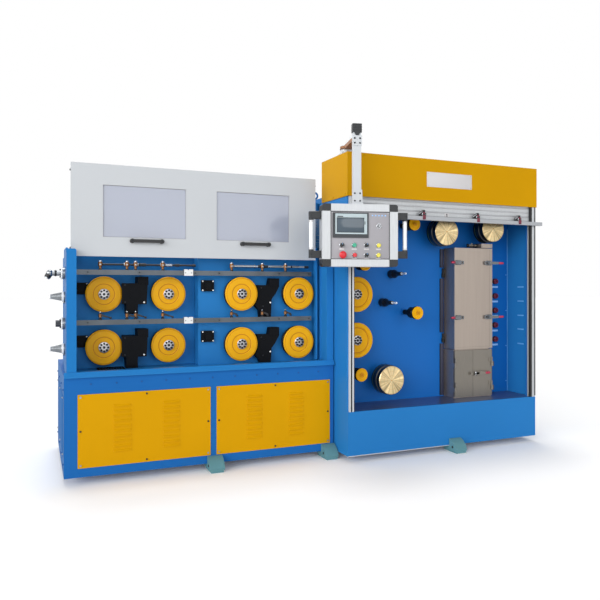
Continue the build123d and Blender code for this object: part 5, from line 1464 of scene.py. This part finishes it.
class WDM_OT_rear_sheets(bpy.types.Operator):
    """Louvred sheets on the base's rear and the two doors behind the cabinet"""
    bl_idname = "wdm.rear_sheets"
    bl_label = "Rear sheets"

    SHEETS_X = ((29, 849), (888, 1668))
    SHEET_Z = (97, 531)
    # Left edge, right edge and hinge of each door.
    DOORS_X = ((1790, 2544, 1790), (2552, 3306, 3306))
    DOOR_Z = (360, 1770)
    HINGES_Z = (520, 1065, 1610)
    HANDLE_Z = 1065

    def execute(self, context):
        self.base_sheets(context.scene.wdm_sizes.panel_screw * 1000)
        self.cabinet_doors()
        return {"FINISHED"}

    def base_sheets(self, radius):
        """Two yellow sheets with two columns of louvres each."""
        rear = box_mm("base_frame")[3]
        z0, z1 = self.SHEET_Z
        places = []
        for number, (left, right) in enumerate(self.SHEETS_X, 1):
            sheet = Shape().block(left, right, rear, rear + 3, z0, z1, 0.8)
            sheet.piece(f"rear_sheet_{number}", "yellow enamel", slot="yellow_paint")
            for column, share in enumerate((0.3, 0.66), 1):
                x = left + (right - left) * share
                louvres(f"rear_louvres_{number}_{column}", x, rear + 4, 190, 100, 29, 9, "yellow enamel")
            places += [(x, rear + 3, z) for z in (z0 + 16, z1 - 16)
                       for x in (left + 16, (left + right) / 2, right - 16)]
        screws("rear_sheet_screws", places, radius, "zinc", direction=BACK)

    def cabinet_doors(self):
        """Two sheet doors with louvres at their foot and head, hinges and catches."""
        rear = box_mm("cabinet_housing")[3]
        z0, z1 = self.DOOR_Z
        hinges = Shape()
        catches = Shape()
        for number, (left, right, hinge) in enumerate(self.DOORS_X, 1):
            door = Shape().block(left, right, rear, rear + 4, z0, z1, 1)
            door.block(left + 16, right - 16, rear + 4, rear + 7, z0 + 16, z1 - 16, 2)
            door.piece(f"rear_door_{number}", "blue enamel")
            middle = (left + right) / 2
            louvres(f"door_louvres_low_{number}", middle, rear + 8, 470, 320, 26, 10, "blue enamel")
            louvres(f"door_louvres_high_{number}", middle, rear + 8, 1460, 320, 26, 8, "blue enamel")
            for z in self.HINGES_Z:
                hinges.rod((hinge, rear + 6, z - 35), (hinge, rear + 6, z + 35), 7)
            x = right - 44 if hinge == left else left + 44
            catches.turned([(17, 0), (17, 3), (14, 5), (0, 5)], (x, rear + 7, self.HANDLE_Z), BACK)
            catches.block(x - 5, x + 5, rear + 12, rear + 20, self.HANDLE_Z - 45, self.HANDLE_Z + 15, 2)
        hinges.piece("rear_door_hinges", "dark steel", slot="bright_steel")
        catches.piece("rear_door_catches", "black plastic", slot="black_plastic")


class WDM_OT_side_sheets(bpy.types.Operator):
    """Seams, screws and hood flange of the cabinet's ends and roof"""
    bl_idname = "wdm.side_sheets"
    bl_label = "Cabinet ends"

    END_SHEET = (-150, 380, 380, 1700)
    ROOF_HATCH = (1790, 3306, 215, 360)
    ROOF_SCREWS_X = (2300, 2800)
    HOOD_SHEET_Z = 1830

    def execute(self, context):
        right = box_mm("cabinet_plinth")[1]
        y0, y1, z0, z1 = self.END_SHEET
        Shape().block(right, right + 2, y0, y1, z0, z1, 0.8).piece("right_end_sheet", "blue enamel")
        places = [(right + 2, y, z) for y in (y0 + 14, (y0 + y1) / 2, y1 - 14)
                  for z in (z0 + 16, (z0 + z1) / 2, z1 - 16)]
        screws("right_end_screws", places, 6, "zinc", direction=RIGHT)
        x0, x1, y0, y1 = self.ROOF_HATCH
        roof_z = box_mm("cabinet_roof")[5]
        Shape().block(x0, x1, y0, y1, roof_z, roof_z + 3, 1).piece("roof_hatch", "blue enamel")
        places = [(x, y, roof_z + 3) for x in (x0 + 14, *self.ROOF_SCREWS_X, x1 - 14)
                  for y in (y0 + 14, y1 - 14)]
        screws("roof_hatch_screws", places, 6, "zinc", direction=UP)
        x0, x1, y0, y1, z0, z1 = box_mm("shutter_hood")
        sheet = Shape().block(x0 + 3, x1 - 3, y1, y1 + 2, self.HOOD_SHEET_Z, z1 - 20, 0.6)
        sheet.piece("hood_rear_sheet", "hood yellow", slot="yellow_paint")
        places = [(x0 + 40 + n * 254, y1 + 2, z) for n in range(7)
                  for z in (self.HOOD_SHEET_Z + 20, z1 - 40)]
        screws("hood_rear_screws", places, 5, "zinc", direction=BACK)
        places = [(x0, y, z0 + 14) for y in (-180, 0, 160)]
        screws("hood_end_screws", places, 5, "hood yellow", direction=LEFT,
               height_mm=1.5)
        return {"FINISHED"}


class WDM_OT_stage(bpy.types.Operator):
    """Pale floor, soft light and the photograph's camera"""
    bl_idname = "wdm.stage"
    bl_label = "Stage"

    FLOOR_SIZE = 60
    # Name, turn in degrees, share of the key's strength, and the sun disc's angle in degrees.
    LAMPS = (
        ("key", (76, 0, -50), 1.0, 40),
        ("front fill", (78, 0, 4), 0.46, 40),
        ("top", (-11, 0, 0), 0.6, 20),
        ("left fill", (80, 0, -90), 1.0, 50),
        ("rear fill", (75, 0, 165), 0.35, 60),
    )
    CAMERA_PLACE = (-1.79507, -4.23260, 1.16)
    CAMERA_TURN = (90, 0, -22.8)
    LENS_MM = 37.86
    SENSOR_MM = 36

    def execute(self, context):
        scene = context.scene
        scene.view_settings.view_transform = "Standard"
        self.floor(scene)
        self.world(scene)
        for name, turn, share, angle in self.LAMPS:
            lamp = bpy.data.lights.new(name, "SUN")
            lamp.energy = share * scene.wdm_sizes.key
            lamp.angle = math.radians(angle)
            light = bpy.data.objects.new(name, lamp)
            light.rotation_euler = [math.radians(a) for a in turn]
            scene.collection.objects.link(light)
        self.camera(scene)
        return {"FINISHED"}

    def floor(self, scene):
        """A matt floor that the camera sees nearly white, with the object's shadow on it."""
        bm = bmesh.new()
        bmesh.ops.create_grid(bm, x_segments=1, y_segments=1, size=self.FLOOR_SIZE)
        mesh = bpy.data.meshes.new("floor")
        bm.to_mesh(mesh)
        bm.free()
        floor = bpy.data.objects.new("floor", mesh)
        scene.collection.objects.link(floor)
        material, tree, shader, _ = surface("Pale_studio_floor", 0.9, Specular_IOR_Level=0.0)
        rays = add_node(tree, "ShaderNodeLightPath").outputs
        seen = (0.99, 0.99, 0.99, 1)
        colour = add_node(tree, "ShaderNodeMix", {
            0: rays["Is Camera Ray"], 6: scene.wdm_colours.floor, 7: seen}, data_type="RGBA")
        glow = add_node(tree, "ShaderNodeMath", {0: rays["Is Camera Ray"], 1: 0.05}, operation="MULTIPLY")
        tree.links.new(colour.outputs[2], shader.inputs["Base Color"])
        shader.inputs["Emission Color"].default_value = (1, 1, 1, 1)
        tree.links.new(glow.outputs[0], shader.inputs["Emission Strength"])
        mesh.materials.append(material)

    def world(self, scene):
        """Soft light from all round, which the camera, metal and glass see as white."""
        world = bpy.data.worlds.new("Studio")
        scene.world = world
        world.use_nodes = True
        tree = world.node_tree
        tree.nodes.clear()
        rays = add_node(tree, "ShaderNodeLightPath").outputs
        seen = rays["Is Camera Ray"]
        for ray in ("Is Glossy Ray", "Is Transmission Ray"):
            seen = add_node(tree, "ShaderNodeMath", {0: seen, 1: rays[ray]}, operation="MAXIMUM").outputs[0]
        strength = add_node(tree, "ShaderNodeMapRange", {
            "Value": seen, "To Min": scene.wdm_sizes.light, "To Max": 1.0})
        background = add_node(tree, "ShaderNodeBackground", {
            "Color": (1, 1, 1, 1), "Strength": strength.outputs["Result"]})
        add_node(tree, "ShaderNodeOutputWorld", {"Surface": background.outputs["Background"]})

    def camera(self, scene):
        """A level camera at the photograph's place, shifted down a little."""
        lens = bpy.data.cameras.new("camera")
        lens.sensor_width = self.SENSOR_MM
        lens.lens = self.LENS_MM
        lens.shift_y = -0.02
        lens.clip_end = 200
        camera = bpy.data.objects.new("camera", lens)
        camera.location = self.CAMERA_PLACE
        camera.rotation_euler = [math.radians(a) for a in self.CAMERA_TURN]
        scene.collection.objects.link(camera)
        scene.camera = camera


class WDM_PT_panel(bpy.types.Panel):
    """The steps that dress the machine"""
    bl_idname = "WDM_PT_panel"
    bl_label = "Wire drawing machine"
    bl_space_type = "VIEW_3D"
    bl_region_type = "UI"
    bl_category = "Wire drawing"

    def draw(self, context):
        for group in (context.scene.wdm_sizes, context.scene.wdm_colours):
            for name in group.__annotations__:
                self.layout.prop(group, name)
        for operator in STEPS:
            self.layout.operator(operator.bl_idname)


STEPS = (WDM_OT_finishes, WDM_OT_stage, WDM_OT_hubs, WDM_OT_pulleys, WDM_OT_base_fittings, WDM_OT_spray,
         WDM_OT_die_screws, WDM_OT_inlets, WDM_OT_cover_trim, WDM_OT_cabinet_trim, WDM_OT_shutter,
         WDM_OT_annealer_trim, WDM_OT_pendant_panel, WDM_OT_pendant_frame, WDM_OT_feet,
         WDM_OT_housing_covers, WDM_OT_rear_sheets, WDM_OT_side_sheets)
CLASSES = (WDM_sizes, WDM_colours) + STEPS + (WDM_PT_panel,)


def register():
    for cls in CLASSES:
        bpy.utils.register_class(cls)
    bpy.types.Scene.wdm_sizes = PointerProperty(type=WDM_sizes)
    bpy.types.Scene.wdm_colours = PointerProperty(type=WDM_colours)


def unregister():
    del bpy.types.Scene.wdm_colours
    del bpy.types.Scene.wdm_sizes
    for cls in reversed(CLASSES):
        bpy.utils.unregister_class(cls)


def main():
    register()
    TREES.update(screws=screw_tree(), bolt_ring=bolt_ring_tree(), louvres=louvre_tree(), knurl=knurl_tree())
    for operator in STEPS:
        group, name = operator.bl_idname.split(".")
        getattr(getattr(bpy.ops, group), name)()


if __name__ == "__main__":
    main()
